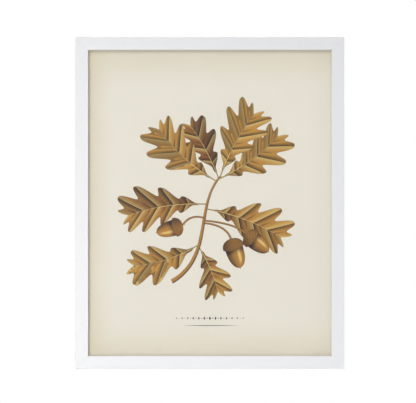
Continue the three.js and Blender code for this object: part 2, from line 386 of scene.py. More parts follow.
def toned_paper():
    """A border is tanned in full at UNDER_LIP from the window's edge, and not at all past its width."""
    finish = Finish("toned_paper")
    place = finish.place()
    x, _, z = finish.split(place)
    drift = (finish.noise(place, 14, 3.0) - 0.5) * DRIFT
    from_side = WINDOW[0] - abs(x) + drift
    from_end = WINDOW[1] - abs(z - MIDDLE) + drift
    to_left = 1 - finish.smooth(x, -WINDOW[0], WINDOW[0])
    side_tan = RIGHT_TAN + (LEFT_TAN - RIGHT_TAN) * to_left
    side = (1 - finish.smooth(from_side, UNDER_LIP, BORDER_SIDE)) * side_tan
    to_top = finish.smooth(z, MIDDLE - WINDOW[1], MIDDLE + WINDOW[1])
    end_tan = BOTTOM_TAN + (TOP_TAN - BOTTOM_TAN) * to_top
    end = (1 - finish.smooth(from_end, UNDER_LIP, BORDER_END)) * end_tan
    tan = 1 - (1 - side) * (1 - end)
    clouds = finish.noise(place, 22, 4.0, 0.6)
    fibres = finish.noise(finish.stretched(place, 900, 900, 2600), 1.0, 2.0)
    colour = finish.mix(tan, CREAM, TANNED)
    shade = 1.0 + 0.03 * clouds - 0.02 * finish.smooth(fibres, 0.55, 0.75)
    # Darker towards the left. Lighter towards the top: painted light that makes up for the key lamp's weaker
    # light there.
    shade = shade - LEFT_DARKER * to_left + PAINTED_LIGHT_AT_TOP * to_top
    return finish.principled(
        base_color=finish.mix(1.0, colour, finish.grey(shade), "MULTIPLY"),
        roughness=0.82 + 0.1 * fibres,
        specular_ior_level=0.25,
        normal=finish.bump(fibres, 0.03 * MM),
    )


PAPER = toned_paper()

# %% [markdown]
# ### Inks
#
# The sprig is drawn like an old lithograph: a wash of ochre and brown, fine hatching for the shadows and a
# dark line round each form. The line and the hatching have to follow each leaf, so the leaf meshes carry
# attributes that say where a point lies on its leaf: "along" the midrib from 0 to 1, "across" from -1 to 1,
# how far it is from the "rib" and from the "edge" in metres, and the count of side "veins" up to it.

# %% The colours of the inks
OUTLINE = srgb(46, 26, 12)
DARK_BROWN = srgb(62, 32, 10)
RUSSET = srgb(148, 84, 32)
OCHRE = srgb(215, 159, 68)
STRAW = srgb(243, 210, 126)
RIM_LINE = 0.5 * MM


def ink(finish, wash, strokes):
    """Ink that has sunk into paper, as a wash of colour with darker strokes over it."""
    place = finish.place()
    tooth = finish.noise(place, 1800, 2.0)
    colour = finish.mix(strokes * (0.75 + 0.4 * tooth), wash, OUTLINE)
    return finish.principled(
        base_color=colour,
        roughness=0.72 + 0.1 * tooth,
        specular_ior_level=0.25,
        normal=finish.bump(tooth, 0.02 * MM),
    )


def line(finish, distance, width):
    """1 on a drawn line and 0 away from it."""
    return 1 - finish.smooth(distance, 0.6 * width, 1.3 * width)


for name, colour in (("outline", OUTLINE), ("russet", RUSSET), ("straw", STRAW)):
    print(f"{name} ink gives back {sum(colour) / 3:.0%} of the light")


# %% [markdown]
# A leaf is drawn as if light fell on it from the left. Each lobe has a side vein in its middle, so the count
# of veins serves as a ruler: "beside" is 0 on a side vein, and half one way or the other in the notches
# between lobes. A lobe is light before its vein and in shadow past it. The shadow is drawn twice, as a brown
# wash and as hatching whose lines swell where it is deep, as a printer builds up tone.

# %% Leaf ink
HATCHES = 22
NET_PITCH = 2.2 * MM
MIDRIB = 0.8 * MM
BESIDE_MIDRIB = 1.2 * MM


def leaf_ink():
    finish = Finish("leaf_ink")
    along, across, rib, edge = finish.attributes("along", "across", "rib", "edge")
    veins, tone = finish.attributes("veins", "tone")
    mottle = finish.noise(finish.place(), 60, 4.0, 0.6)
    beside = veins.fraction() - 0.5
    out = abs(across)
    right_half = across > 0

    # Shadow: past each vein, in the notches, on the right half, on dark leaves and near the stalk.
    past_vein = (beside > 0) * (1 - finish.smooth(beside, 0.0, 0.36))
    in_notch = finish.smooth(abs(beside), 0.4, 0.5) * (1 - finish.smooth(out, 0.2, 0.9))
    shadow = past_vein * (0.75 - 0.35 * out) + in_notch * 0.4
    shadow = shadow + right_half * 0.24 * (1 - 0.5 * tone) + (1 - tone) * 0.2
    shadow = shadow + 0.35 * (1 - finish.smooth(along, 0.0, 0.5))
    shadow = shadow * (0.75 + 0.9 * mottle)

    # Wash: russet to ochre by the leaf's tone, light before each vein, brown in shadow, straw on the veins.
    before_vein = (beside < 0) * finish.smooth(beside, -0.34, -0.04)
    side_vein = line(finish, abs(beside), 0.02) * (1 - finish.smooth(out, 0.7, 0.95))
    midrib = line(finish, rib, MIDRIB * (1 - 0.75 * along))
    wash = finish.mix(finish.smooth(tone * 0.6 + mottle * 0.75 + 0.2 * along, 0.3, 1.0), RUSSET, OCHRE)
    wash = finish.mix(before_vein * 0.6, wash, STRAW)
    wash = finish.mix((shadow * 0.9).at_most(0.92), wash, DARK_BROWN)
    wash = finish.mix(side_vein * 0.8, wash, STRAW)
    wash = finish.mix(midrib, wash, STRAW)

    # Strokes: hatching along the veins, a faint net across them, and lines beside the veins and at the rim.
    hatch_across = abs((veins * HATCHES).fraction() - 0.5)
    hatch = line(finish, hatch_across, 0.3 * finish.smooth(shadow, 0.1, 0.75))
    net_across = abs((rib / NET_PITCH + mottle * 3).fraction() - 0.5)
    net = line(finish, net_across, 0.1) * 0.25
    under_vein = line(finish, abs(beside - 0.038), 0.014) * (1 - finish.smooth(out, 0.75, 1.0))
    under_rib = line(finish, abs(rib - BESIDE_MIDRIB * (1 - 0.7 * along)), 0.35 * MM) * right_half
    rim = line(finish, edge, RIM_LINE)
    strokes = hatch * 0.55 + net + under_vein * 0.7 + under_rib * 0.8 + rim
    return ink(finish, wash, strokes.at_most(0.95))


LEAF_INK = leaf_ink()

# %% [markdown]
# A nut is smooth and shines, a cup is covered with scales, and bark is streaked along the twig. All three
# are round, so each gets darker towards its edges, most on the side away from the light. The scales are two
# sets of slanting bands that cross, and streaks are noise that is stretched along the form. A mesh with
# real scales would be finer than a printed line, so the cup's scales are only drawn, as on a real print.


# %% Nut ink and cup ink
def round_shade(finish, across):
    """How dark a round form is drawn: most at its right edge, and a little at its left one."""
    return 0.75 * finish.smooth(across, -0.15, 1.0) + 0.3 * finish.smooth(across, -0.55, -1.0)


def nut_ink():
    finish = Finish("nut_ink")
    along, across, edge = finish.attributes("along", "across", "edge")
    streaks = finish.noise(finish.join(across * 26, along * 1.6, 0), 1.0, 3.0)
    glint = 1 - finish.smooth(abs(across + 0.38), 0.0, 0.3)
    glint = glint * (1 - finish.smooth(abs(along - 0.5), 0.1, 0.4))
    shadow = round_shade(finish, across) + 0.5 * (1 - finish.smooth(along, 0.25, 0.45))
    wash = finish.mix(streaks, RUSSET, OCHRE)
    wash = finish.mix(glint * 0.85, wash, STRAW)
    wash = finish.mix(shadow.at_most(1.0), wash, DARK_BROWN)
    hatch = finish.smooth(streaks + 0.6 * shadow, 0.75, 1.0) * 0.4
    rim = line(finish, edge, RIM_LINE)
    return ink(finish, wash, hatch.at_least(rim))


def cup_ink():
    finish = Finish("cup_ink")
    along, across, edge = finish.attributes("along", "across", "edge")
    round_about = (across * 0.98).arcsine() * 2.6
    up = (along + 0.35 * (1 - across * across)) * 5.5
    one = abs((round_about + up).fraction() - 0.5)
    other = abs((round_about - up).fraction() - 0.5)
    scale_edge = finish.smooth(one.at_least(other), 0.3, 0.5)
    shadow = round_shade(finish, across)
    wash = finish.mix(finish.noise(finish.place(), 300, 2.0), RUSSET, OCHRE)
    wash = finish.mix(0.25 + 0.75 * shadow, wash, DARK_BROWN)
    rim = line(finish, edge, RIM_LINE)
    lip = finish.smooth(along, 0.93, 0.99)
    return ink(finish, wash, (scale_edge * 0.8).at_least(rim).at_least(lip))


NUT_INK = nut_ink()
CUP_INK = cup_ink()


# %% Bark ink, and a plain one for the ornament
def bark_ink():
    finish = Finish("bark_ink")
    along, across, edge = finish.attributes("along", "across", "edge")
    streaks = finish.noise(finish.join(across * 5, along * 34, 0), 1.0, 4.0, 0.7)
    wash = finish.mix(streaks, RUSSET, OCHRE)
    wash = finish.mix(round_shade(finish, across), wash, DARK_BROWN)
    strokes = finish.smooth(streaks + 0.25 * across, 0.52, 0.7) * 0.5
    rim = line(finish, edge, 0.8 * RIM_LINE)
    return ink(finish, wash, strokes.at_least(rim))


def ornament_ink():
    finish = Finish("ornament_ink")
    worn = finish.noise(finish.place(), 900, 3.0)
    return ink(finish, finish.mix(worn, srgb(92, 82, 70), srgb(70, 62, 54)), worn * 0.2)


BARK_INK = bark_ink()
ORNAMENT_INK = ornament_ink()

# %% [markdown]
# ### Boards, metal and rubber
#
# The back is a thin hardboard: pressed brown fibre, with flecks of lighter and darker fibre in it. The
# filler board is kraft paper over flutes. Zinc plate on stamped steel is a bluish grey with fine brush
# marks and cloudy gloss, and the bumpers are dull grey rubber.
#
# One noise could serve for each, but real fibres and brush marks are longer one way than the other. So the
# place that a noise reads is stretched: where its numbers grow slowly, its spots are long.

# %% The hardboard back and the filler board
FLUTE_SCALE = 38.0


def fibreboard():
    finish = Finish("fibreboard")
    place = finish.place()
    clouds = finish.noise(place, 12, 3.0)
    pulp = finish.noise(finish.stretched(place, 420, 420, 700), 1.0, 4.0, 0.7)
    fleck = finish.noise(finish.stretched(place, 1500, 1500, 380), 1.0, 1.0)
    stops = [(0.2, srgb(104, 69, 42)), (0.5, srgb(140, 99, 64)), (0.8, srgb(176, 130, 88))]
    colour = finish.node("ShaderNodeValToRGB", {"stops": stops}, {"Fac": clouds * 0.3 + pulp * 0.7})
    colour = finish.mix(finish.smooth(fleck, 0.68, 0.78) * 0.5, colour, srgb(196, 160, 116))
    colour = finish.mix(finish.smooth(fleck, 0.3, 0.22) * 0.6, colour, srgb(72, 46, 28))
    return finish.principled(
        base_color=colour,
        roughness=0.5 + 0.22 * pulp,
        normal=finish.bump(pulp, 0.06 * MM),
    )


def kraft_board():
    finish = Finish("kraft_board")
    place = finish.place()
    bands = {"bands_direction": "X"}
    flutes = finish.node("ShaderNodeTexWave", bands, {"Vector": place, "Scale": FLUTE_SCALE})
    fibre = finish.noise(finish.stretched(place, 500, 500, 1400), 1.0, 3.0)
    return finish.principled(
        base_color=finish.mix(fibre, srgb(164, 126, 84), srgb(190, 152, 106)),
        roughness=0.85 + 0.1 * fibre,
        normal=finish.bump(flutes * 0.7 + fibre * 0.3, 0.1 * MM),
    )


HARDBOARD = fibreboard()
KRAFT = kraft_board()


# %% Zinc plate and rubber
def zinc_plate():
    finish = Finish("zinc_plate")
    place = finish.place()
    brush = finish.noise(finish.stretched(place, 900, 900, 6000), 1.0, 3.0)
    clouds = finish.noise(place, 260, 3.0)
    stain = finish.smooth(finish.noise(place, 90, 4.0), 0.52, 0.72)
    colour = finish.mix(clouds, (0.60, 0.61, 0.62), (0.74, 0.75, 0.76))
    return finish.principled(
        base_color=finish.mix(stain * 0.35, colour, (0.5, 0.49, 0.46)),
        metallic=1.0,
        roughness=0.26 + 0.16 * brush + 0.1 * clouds + 0.08 * stain,
        normal=finish.bump(brush, 0.008 * MM),
    )


def soft_rubber():
    finish = Finish("soft_rubber")
    bloom = finish.noise(finish.place(), 400, 3.0)
    pores = finish.noise(finish.place(), 2600, 2.0)
    return finish.principled(
        base_color=finish.mix(bloom, srgb(96, 98, 101), srgb(122, 124, 126)),
        roughness=0.72 + 0.18 * bloom,
        normal=finish.bump(pores, 0.03 * MM),
    )


ZINC = zinc_plate()
RUBBER = soft_rubber()

# %% [markdown]
# ## The sheets in the rabbet
#
# The glazing, the print and the two boards are flat sheets, and their solids already have the right shape.
# They stay, and only get their finishes.


# %% Finish the solids that stay
def refinish(node, material):
    solid = frame["nodes"][node]
    solid.data.materials.clear()
    solid.data.materials.append(material)
    print(node, "is finished in", material.name)


refinish("glazing", ACRYLIC)
refinish("print", PAPER)
refinish("filler_board", KRAFT)
refinish("backing_board", HARDBOARD)

# %% [markdown]
# ## From mesh code to a piece
#
# Every piece below ends in the same way: its mesh becomes an object at the origin, which rides on a body of
# the frame, takes the place of some solids and gets its finish.


# %% Make a mesh an object, and an object a piece of the frame
def put(name, data, material=None):
    """Puts a mesh, a lamp or a camera into the scene, as an object at the origin."""
    thing = bpy.data.objects.new(name, data)
    bpy.context.scene.collection.objects.link(thing)
    if material:
        data.materials.clear()
        data.materials.append(material)
    return thing


def piece(name, mesh, material, nodes=(), body="frame"):
    thing = put(name, mesh, material)
    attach(thing, body)
    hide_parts(*nodes)
    print(f"{name}: {len(mesh.polygons)} faces, solids replaced: {len(nodes)}")


print("bodies to ride on:", ", ".join(sorted(frame["bodies"])))

# %% [markdown]
# Mesh code works on a bmesh, a mesh that is open for building. These helpers close one, join and clean
# meshes, and run an object's modifiers so that only the mesh that they make is left. A Boolean or a bevel
# can leave faces too thin to be seen, which spoil the shading, so points that nearly touch are merged.

# %% Close, evaluate, join, clean and soften a mesh
NEARLY_TOUCHING = 0.002 * MM


def closed(built, name):
    """The mesh that a bmesh holds. The bmesh itself is let go."""
    mesh = bpy.data.meshes.new(name)
    built.to_mesh(mesh)
    built.free()
    return mesh


def evaluated(thing):
    """The mesh that an object's modifiers make, with the object itself removed."""
    shown = thing.evaluated_get(bpy.context.evaluated_depsgraph_get())
    mesh = bpy.data.meshes.new_from_object(shown)
    bpy.data.objects.remove(thing)
    return mesh


def joined(meshes):
    """Several meshes as one."""
    whole = bmesh.new()
    for mesh in meshes:
        whole.from_mesh(mesh)
    return closed(whole, "joined")


def cleaned(mesh):
    """The mesh without the slivers that a Boolean or a bevel can leave."""
    built = bmesh.new()
    built.from_mesh(mesh)
    bmesh.ops.remove_doubles(built, verts=built.verts, dist=NEARLY_TOUCHING)
    bmesh.ops.dissolve_degenerate(built, dist=NEARLY_TOUCHING, edges=built.edges)
    bmesh.ops.triangulate(built, faces=[face for face in built.faces if len(face.verts) > 4])
    return closed(built, mesh.name)


def soften(mesh, degrees=35):
    """Shades round what is round, and keeps edges sharper than this, and wide faces flat."""
    mesh.shade_smooth()
    mesh.set_sharp_from_angle(angle=math.radians(degrees))
    thing = put("softened", mesh)
    thing.modifiers.new("by area", "WEIGHTED_NORMAL").keep_sharp = True
    return evaluated(thing)


print(f"points closer than {NEARLY_TOUCHING / MM} mm are merged")

# %% [markdown]
# ## The moulding
#
# A moulding is one section drawn out and cut at 45 degrees. A curve with a bevel would thin out at the
# corners, so each rail is built from rings instead: the section at both ends, each point as much further in
# along the rail as it lies further in across it, which is what a mitre saw does. The rail stops a hair short
# of the mitre, and its last ring at each end is a little smaller than the section. That leaves the fine
# groove that a lacquered corner shows.

# %% The section of the moulding
LIP = 6.5 * MM
LIP_THICKNESS = 5 * MM
OUTER_ROUND = 1.1 * MM
INNER_ROUND = 0.7 * MM
BACK_ROUND = 0.5 * MM
ROUND_STEPS = 7


def arc(centre, radius, start, end, steps=ROUND_STEPS):
    """Points on part of a circle, from start to end in degrees."""
    turns = [math.radians(start + (end - start) * i / steps) for i in range(steps + 1)]
    return [(centre[0] + radius * math.cos(t), centre[1] + radius * math.sin(t)) for t in turns]


def moulding_section():
    """The section as (distance in from the outer edge, depth), going round with the wood on the left."""
    rabbet = FACE_WIDTH - LIP
    corners = [
        *arc((BACK_ROUND, BACK - BACK_ROUND), BACK_ROUND, 90, 180),
        *arc((OUTER_ROUND, FRONT + OUTER_ROUND), OUTER_ROUND, 180, 270),
        *arc((FACE_WIDTH - INNER_ROUND, FRONT + INNER_ROUND), INNER_ROUND, 270, 360),
        (FACE_WIDTH, FRONT + LIP_THICKNESS),
        (rabbet, FRONT + LIP_THICKNESS),
        (rabbet, BACK),
    ]
    return [Vector(corner) for corner in corners]


def shrunk(section, by):
    """The section with every point moved into the wood, square to the line between its neighbours."""
    result = []
    for before, here, after in zip(section[-1:] + section[:-1], section, section[1:] + section[:1]):
        way = (after - before).normalized()
        result.append(here + by * Vector((-way.y, way.x)))
    return result


print("the section of the moulding has", len(moulding_section()), "points")


# %% Faces between rings of points
def ring(built, places):
    return [built.verts.new(place) for place in places]


def bridge(built, rings):
    """Faces from each ring to the next one. A ring of one point is a pole."""
    for one, other in zip(rings, rings[1:]):
        for i in range(max(len(one), len(other))):
            corners = ((one, i - 1), (one, i), (other, i), (other, i - 1))
            points = [points[at % len(points)] for points, at in corners]
            built.faces.new(list(dict.fromkeys(points)))


def cap(built, rings):
    """A face over the first ring and one over the last, and all faces turned outwards."""
    built.faces.new(rings[0])
    built.faces.new(reversed(rings[-1]))
    bmesh.ops.recalc_face_normals(built, faces=built.faces)


trial = bmesh.new()
square = ring(trial, ((0, 0, 0), (1, 0, 0), (1, 1, 0), (0, 1, 0)))
bridge(trial, [ring(trial, [(0.5, 0.5, 1)]), square])
print("from a pole to a square:", len(trial.faces), "faces")
trial.free()

# %% One rail, in its own space: along X, with its outer edge at z = 0
GROOVE = 0.12 * MM
HAIRLINE = 0.03 * MM


def rail_mesh(length):
    section = moulding_section()
    drawn_in = shrunk(section, GROOVE)
    ends = [(1, drawn_in, HAIRLINE), (1, section, HAIRLINE + GROOVE)]
    ends += [(-1, section, HAIRLINE + GROOVE), (-1, drawn_in, HAIRLINE)]
    built = bmesh.new()
    rings = []
    for end, outline, hair in ends:
        places = [(end * (length / 2 - inwards - hair), depth, -inwards) for inwards, depth in outline]
        rings.append(ring(built, places))
    bridge(built, rings)
    cap(built, rings)
    bmesh.ops.triangulate(built, faces=built.faces)
    return closed(built, "rail")


print(f"the groove at a corner is {GROOVE / MM} mm deep")

# %% [markdown]
# The corner nails lie in slots that are open at the back, so each rail also has its slots cut. A Boolean
# modifier does that, with thin blocks as its cutters.

# %% The slots of the corner nails
NAIL_LEG = 7 * MM
NAIL_SHEET = 0.6 * MM
NAIL_DEPTH = 8 * MM
NAIL_SUNK = 0.2 * MM
NAIL_ROWS = (4 * MM, 9.6 * MM)
SLOT_CLEARANCE = 0.2 * MM
CUTTER_PROUD = 1 * MM


def block(built, low, high):
    """Adds a box from one corner to the other."""
    size = Vector(high) - Vector(low)
    middle = (Vector(high) + Vector(low)) / 2
    matrix = Matrix.Translation(middle) @ Matrix.Diagonal((*size, 1))
    bmesh.ops.create_cube(built, size=1.0, matrix=matrix)


def slot_cutters(length):
    built = bmesh.new()
    half = NAIL_SHEET / 2 + SLOT_CLEARANCE
    floor = BACK - NAIL_SUNK - NAIL_DEPTH - SLOT_CLEARANCE
    for inwards in NAIL_ROWS:
        for end in (-1, 1):
            apex = length / 2 - inwards
            ends = sorted((end * (apex - NAIL_LEG - SLOT_CLEARANCE), end * (apex + NAIL_LEG)))
            low = (ends[0], floor, -inwards - half)
            block(built, low, (ends[1], BACK + CUTTER_PROUD, -inwards + half))
    return closed(built, "slots")


def cut(mesh, cutter_mesh):
    """The mesh with another one taken out of it."""
    body = put("body", mesh)
    cutter = put("cutter", cutter_mesh)
    boolean = body.modifiers.new("cut", "BOOLEAN")
    boolean.operation = "DIFFERENCE"
    boolean.solver = "EXACT"
    boolean.object = cutter
    result = cleaned(evaluated(body))
    bpy.data.objects.remove(cutter)
    return result


print(f"each slot is {(NAIL_SHEET + 2 * SLOT_CLEARANCE) / MM:.1f} mm wide")


# %% Turn each rail into its place
def grained(mesh):
    """The rail with its points' places kept, before it is turned, for the pattern of its lacquer."""
    places = [number for vertex in mesh.vertices for number in vertex.co]
    mesh.attributes.new("grain", "FLOAT_VECTOR", "POINT").data.foreach_set("vector", places)
    return mesh


def turned(mesh, turn, x, z):
    """The mesh turned about Y, by degrees, and moved."""
    mesh.transform(Matrix.Translation((x, 0, z)) @ Matrix.Rotation(math.radians(turn), 4, "Y"))
    return mesh


SIDES = {
    "top": (FRAME_WIDTH, 0, 0, FRAME_HIGH.z),
    "right": (FRAME_HEIGHT, 90, FRAME_HIGH.x, MIDDLE),
    "bottom": (FRAME_WIDTH, 180, 0, FRAME_LOW.z),
    "left": (FRAME_HEIGHT, -90, FRAME_LOW.x, MIDDLE),
}

for side, (length, turn, x, z) in SIDES.items():
    rail = grained(cut(rail_mesh(length), slot_cutters(length)))
    mesh = soften(turned(rail, turn, x, z))
    piece(f"moulding_{side}", mesh, LACQUER, [f"rail_{side}"])


# %% [markdown]
# ## Geometry Nodes as a machine
#
# A Geometry Nodes tree works like a machine with dials. The tree is built once, with a named input for each
# size, and then run as often as needed with other sizes. Each run gives a plain mesh. A tree always ends in
# Realize Instances, which turns copies into real faces, and Set Material.

# %% Build a tree and run it
DIAL_KINDS = {float: "NodeSocketFloat", tuple: "NodeSocketVector", type(None): "NodeSocketObject"}


class Machine(Tree):
    def __init__(self, name, material, **dials):
        """Each dial is an input with this default: a number, a vector, or None for an object."""
        super().__init__(bpy.data.node_groups.new(name, "GeometryNodeTree"))
        self.material = material
        self.nodes.interface.new_socket("Geometry", in_out="OUTPUT", socket_type="NodeSocketGeometry")
        for dial, default in dials.items():
            kind = DIAL_KINDS[type(default)]
            made = self.nodes.interface.new_socket(dial, in_out="INPUT", socket_type=kind)
            if default is not None:
                made.default_value = default
        sockets = self.add("NodeGroupInput").outputs
        self.dials = {dial: Value(self, sockets[dial]) for dial in dials}

    def end_with(self, geometry):
        real = self.node("GeometryNodeRealizeInstances", None, {"Geometry": geometry})
        inputs = {"Geometry": real, "Material": self.material}
        finished = self.node("GeometryNodeSetMaterial", None, inputs)
        self.add("NodeGroupOutput", None, {"Geometry": finished})
        print(f"machine {self.nodes.name}: {len(self.nodes.nodes)} nodes, {len(self.dials)} dials")
        return self

    def run(self, **dials):
        """The plain mesh that the tree makes with its dials set like this."""
        host = put("host", bpy.data.meshes.new("host"))
        modifier = host.modifiers.new("machine", "NODES")
        modifier.node_group = self.nodes
        for item in self.nodes.interface.items_tree:
            if item.in_out == "INPUT" and item.name in dials:
                modifier[item.identifier] = dials[item.name]
        return evaluated(host)


print("kinds of dial:", ", ".join(kind.removeprefix("NodeSocket") for kind in DIAL_KINDS.values()))

# %% [markdown]
# ## The drawing
#
# Ink lies on paper as a film. Each leaf, acorn and twig of the drawing is such a film, as thin as the gap
# between paper and acrylic allows, and all of them come from one rule. A line is drawn along the middle of
# the form. From each point of it two arms go out, one to each side, and lean forward by some angle. How
# long the arms are, all along the line, is the outline of the form.
#
# For an oak leaf the arms are its side veins: they lean forward more towards the tip, and their length
# rises and falls once for each lobe.

# %% The line of a form, and the thickness of its film
FILM = 0.02 * MM
LEVEL = 0.03 * MM
MERGE = 0.001 * MM
LINE_STEPS = 48
HANDLES = ("Start", "Start Handle", "End Handle", "End")


def along_curve(tree, along):
    """The place on the curve through the four handles, and the way it runs there."""
    ends = {handle: tree.dials[handle] for handle in HANDLES}
    inputs = {"Resolution": LINE_STEPS, **ends}
    curve = tree.node("GeometryNodeCurvePrimitiveBezierSegment", None, inputs)
    sample = tree.add("GeometryNodeSampleCurve", {"mode": "FACTOR"}, {"Curves": curve, "Factor": along})
    return [Value(tree, tree.pick(sample.outputs, name)) for name in ("Position", "Tangent")]


def thickened(tree, sheet):
    """A closed film from a sheet whose faces look into the wall."""
    front = tree.node("GeometryNodeFlipFaces", None, {"Mesh": sheet})
    inputs = {"Mesh": front, "Offset": (0.0, -1.0, 0.0), "Offset Scale": FILM, "Individual": False}
    raised = tree.node("GeometryNodeExtrudeMesh", {"mode": "FACES"}, inputs)
    both = tree.node("GeometryNodeJoinGeometry", None, {"Geometry": [raised, sheet]})
    return tree.node("GeometryNodeMergeByDistance", None, {"Geometry": both, "Distance": MERGE})


print(f"a film of ink is {FILM / MM} mm thick, and the next level of films lies {LEVEL / MM} mm higher")

# %% The machine that makes a film of ink along a line
THINNEST = 0.15 * MM


def film_machine(name, material, outline, points_along, points_across, **dials):
    """The outline gives the arms' length, how far they lean from the line, and a count of veins.

    The dial Bow pushes the middle of the line's far end ahead, so that this end is round.
    """
    handles = dict.fromkeys(HANDLES, (0.0, 0.0, 0.0))
    tree = Machine(name, material, Width=0.01, Tone=0.5, Bow=0.0, **handles, **dials)
    inputs = {"Size X": 1.0, "Size Y": 1.0, "Vertices X": points_along, "Vertices Y": points_across}
    grid = tree.node("GeometryNodeMeshGrid", None, inputs)
    x, y, _ = tree.split(tree.node("GeometryNodeInputPosition"))
    along = x + 0.5
    across = y * 2
    side = across.sign()
    half_width, lean, veins = outline(tree, along, across, side)
    half_width = half_width.at_least(THINNEST)
    out = abs(across) * half_width
    marks = {
        "along": along,
        "across": across,
        "rib": out * lean.sine(),
        "edge": half_width - out,
        "veins": veins,
        "tone": tree.dials["Tone"],
    }
    for mark, value in marks.items():
        inputs = {"Geometry": grid, "Name": mark, "Value": value}
        grid = tree.node("GeometryNodeStoreNamedAttribute", {"data_type": "FLOAT"}, inputs)
    middle, forward = along_curve(tree, along)
    sideways = tree.vector("CROSS_PRODUCT", forward, (0.0, -1.0, 0.0))
    bow = tree.dials["Bow"] * (1 - across * across) * along
    ahead = tree.vector("SCALE", forward, lean.cosine() * out + bow)
    aside = tree.vector("SCALE", sideways, lean.sine() * out * side)
    place = tree.vector("ADD", middle, tree.vector("ADD", ahead, aside))
    sheet = tree.node("GeometryNodeSetPosition", None, {"Geometry": grid, "Position": place})
    return tree.end_with(thickened(tree, sheet))


print(f"no form is drawn narrower than {2 * THINNEST / MM} mm")

# %% The outlines: leaf, nut, cup, twig
LOBE_DEPTH = 0.6
LEAN_AT_STALK = math.radians(70)
LEAN_LOST_BY_TIP = math.radians(38)
RIGHT_ANGLE = math.radians(90)


def square_arms(width, along):
    """For a form whose arms stand square to its line, and which has no veins to count."""
    return width, along * 0 + RIGHT_ANGLE, along


def oak_leaf(tree, along, across, side):
    """Its notches are deepest where the count of veins is whole, and each half has a wobble of its own."""
    lobes = tree.dials["Lobes"] + 0.5
    veins = along**0.9 * lobes + side * 0.1 * (1 - along)
    wave = 0.5 + 0.5 * (veins * math.tau).cosine()
    notch = LOBE_DEPTH * (1 - 0.3 * along) * wave**1.5
    rise = 0.75 * tree.smooth(along, 0.06, 0.61) + 0.25 * ((along - 0.06) / 0.55).at_least(0).at_most(1)
    tip = (1 - along**7) ** 0.55
    seed = tree.join(along * 5 + tree.dials["Seed"], side + tree.dials["Seed"] * 3, 0)
    wobble = 0.86 + 0.28 * tree.noise(seed, 1.0, 2.0)
    half = (side > 0) * tree.dials["Right"] + (side < 0) * tree.dials["Left"]
    width = tree.dials["Width"] * 1.1 * rise * tip * (1 - notch) * wobble * half
    stalk = tree.dials["Width"] * 0.022
    return width.at_least(stalk), LEAN_AT_STALK - LEAN_LOST_BY_TIP * along**1.3, veins


def acorn_nut(tree, along, across, side):
    belly = abs(along * 1.16 - 0.1) ** 2.6
    body = (1 - belly).at_least(0) ** 0.5
    point = 0.09 - 0.07 * along
    return square_arms(tree.dials["Width"] * body.at_least(point), along)


def acorn_cup(tree, along, across, side):
    return square_arms(tree.dials["Width"] * (1 - (1 - along) ** 2.4) ** 0.5, along)


def twig(tree, along, across, side):
    knots = tree.noise(tree.join(along * 9, side, 0), 1.0, 2.0)
    tapered = tree.dials["Width"] * (1 - tree.dials["Taper"] * along)
    return square_arms(tapered * (0.8 + 0.4 * knots), along)


leaf_dials = {"Lobes": 5.0, "Left": 1.0, "Right": 1.0, "Seed": 0.0}
LEAVES = film_machine("oak_leaf", LEAF_INK, oak_leaf, points_along=121, points_across=25, **leaf_dials)
NUTS = film_machine("acorn_nut", NUT_INK, acorn_nut, points_along=49, points_across=25)
CUPS = film_machine("acorn_cup", CUP_INK, acorn_cup, points_along=25, points_across=25)
TWIGS = film_machine("twig", BARK_INK, twig, points_along=97, points_across=9, Taper=0.5)

# %% [markdown]
# ### The layout of the sprig
#
# The twig is one long S, and what grows on it is placed by how far up the twig it starts. Measures are in
# millimetres from the middle of the window, to the right and up. A form's line leaves its start in one
# direction, given in degrees with 90 straight up, and has turned by its bend when it ends. Where forms
# cross, the one with the higher level lies in front.

# %% Lines on the paper
TWIG_LINE = ((-62, -128), (8, -88), (-26, -2), (18, 44))


def on_paper(point, level):
    """A place in the scene, where level 0 is the lowest film."""
    x, z = point
    return (x * MM, PAPER_FRONT - LEVEL * (level + 1) + FILM, MIDDLE + z * MM)


def on_line(points, t):
    """The point at t, from 0 to 1, of the curve with these four handles."""
    a, b, c, d = (Vector(p) for p in points)
    s = 1 - t
    return s**3 * a + 3 * s * s * t * b + 3 * s * t * t * c + t**3 * d


def bent_line(start, direction, length, bend):
    """The four handles of a line that leaves start in a direction and turns by bend."""
    first, last = math.radians(direction), math.radians(direction + bend)
    leave = Vector((math.cos(first), math.sin(first)))
    arrive = Vector((math.cos(last), math.sin(last)))
    end = Vector(start) + (leave + arrive).normalized() * length
    return Vector(start), Vector(start) + leave * length / 3, end - arrive * length / 3, end


def line_dials(points, level):
    return {handle: on_paper(point, level) for handle, point in zip(HANDLES, points)}


print(f"the twig is {(Vector(TWIG_LINE[-1]) - Vector(TWIG_LINE[0])).length:.0f} mm from end to end")

# %% [markdown]
# Each row below is a leaf: where on the twig it starts, its direction, length and bend, its half width,
# its lobes to a side, how wide its left and right halves look, its level and its tone, from russet to ochre.
# The seed of a leaf's wobble is the number of its row, so no two leaves are alike.

# %% The leaves
LEAF_ROWS = (
    (0.97, 110, 98, 16, 40, 4, 0.9, 0.9, 0, 0.05),
    (0.36, -58, 80, -18, 34, 4, 0.95, 1.0, 0, 0.35),
    (0.72, 176, 130, 24, 48, 5, 0.9, 1.0, 2, 0.3),
    (0.38, 212, 112, -28, 43, 4, 1.0, 0.85, 3, 0.6),
    (0.94, 150, 126, -24, 48, 5, 1.0, 0.9, 3, 0.75),
    (0.68, -10, 130, -22, 48, 5, 1.0, 0.9, 4, 0.45),
    (0.96, 24, 120, 24, 46, 5, 0.85, 1.0, 5, 0.85),
    (0.99, 70, 116, -16, 48, 5, 1.0, 0.95, 6, 1.0),
)


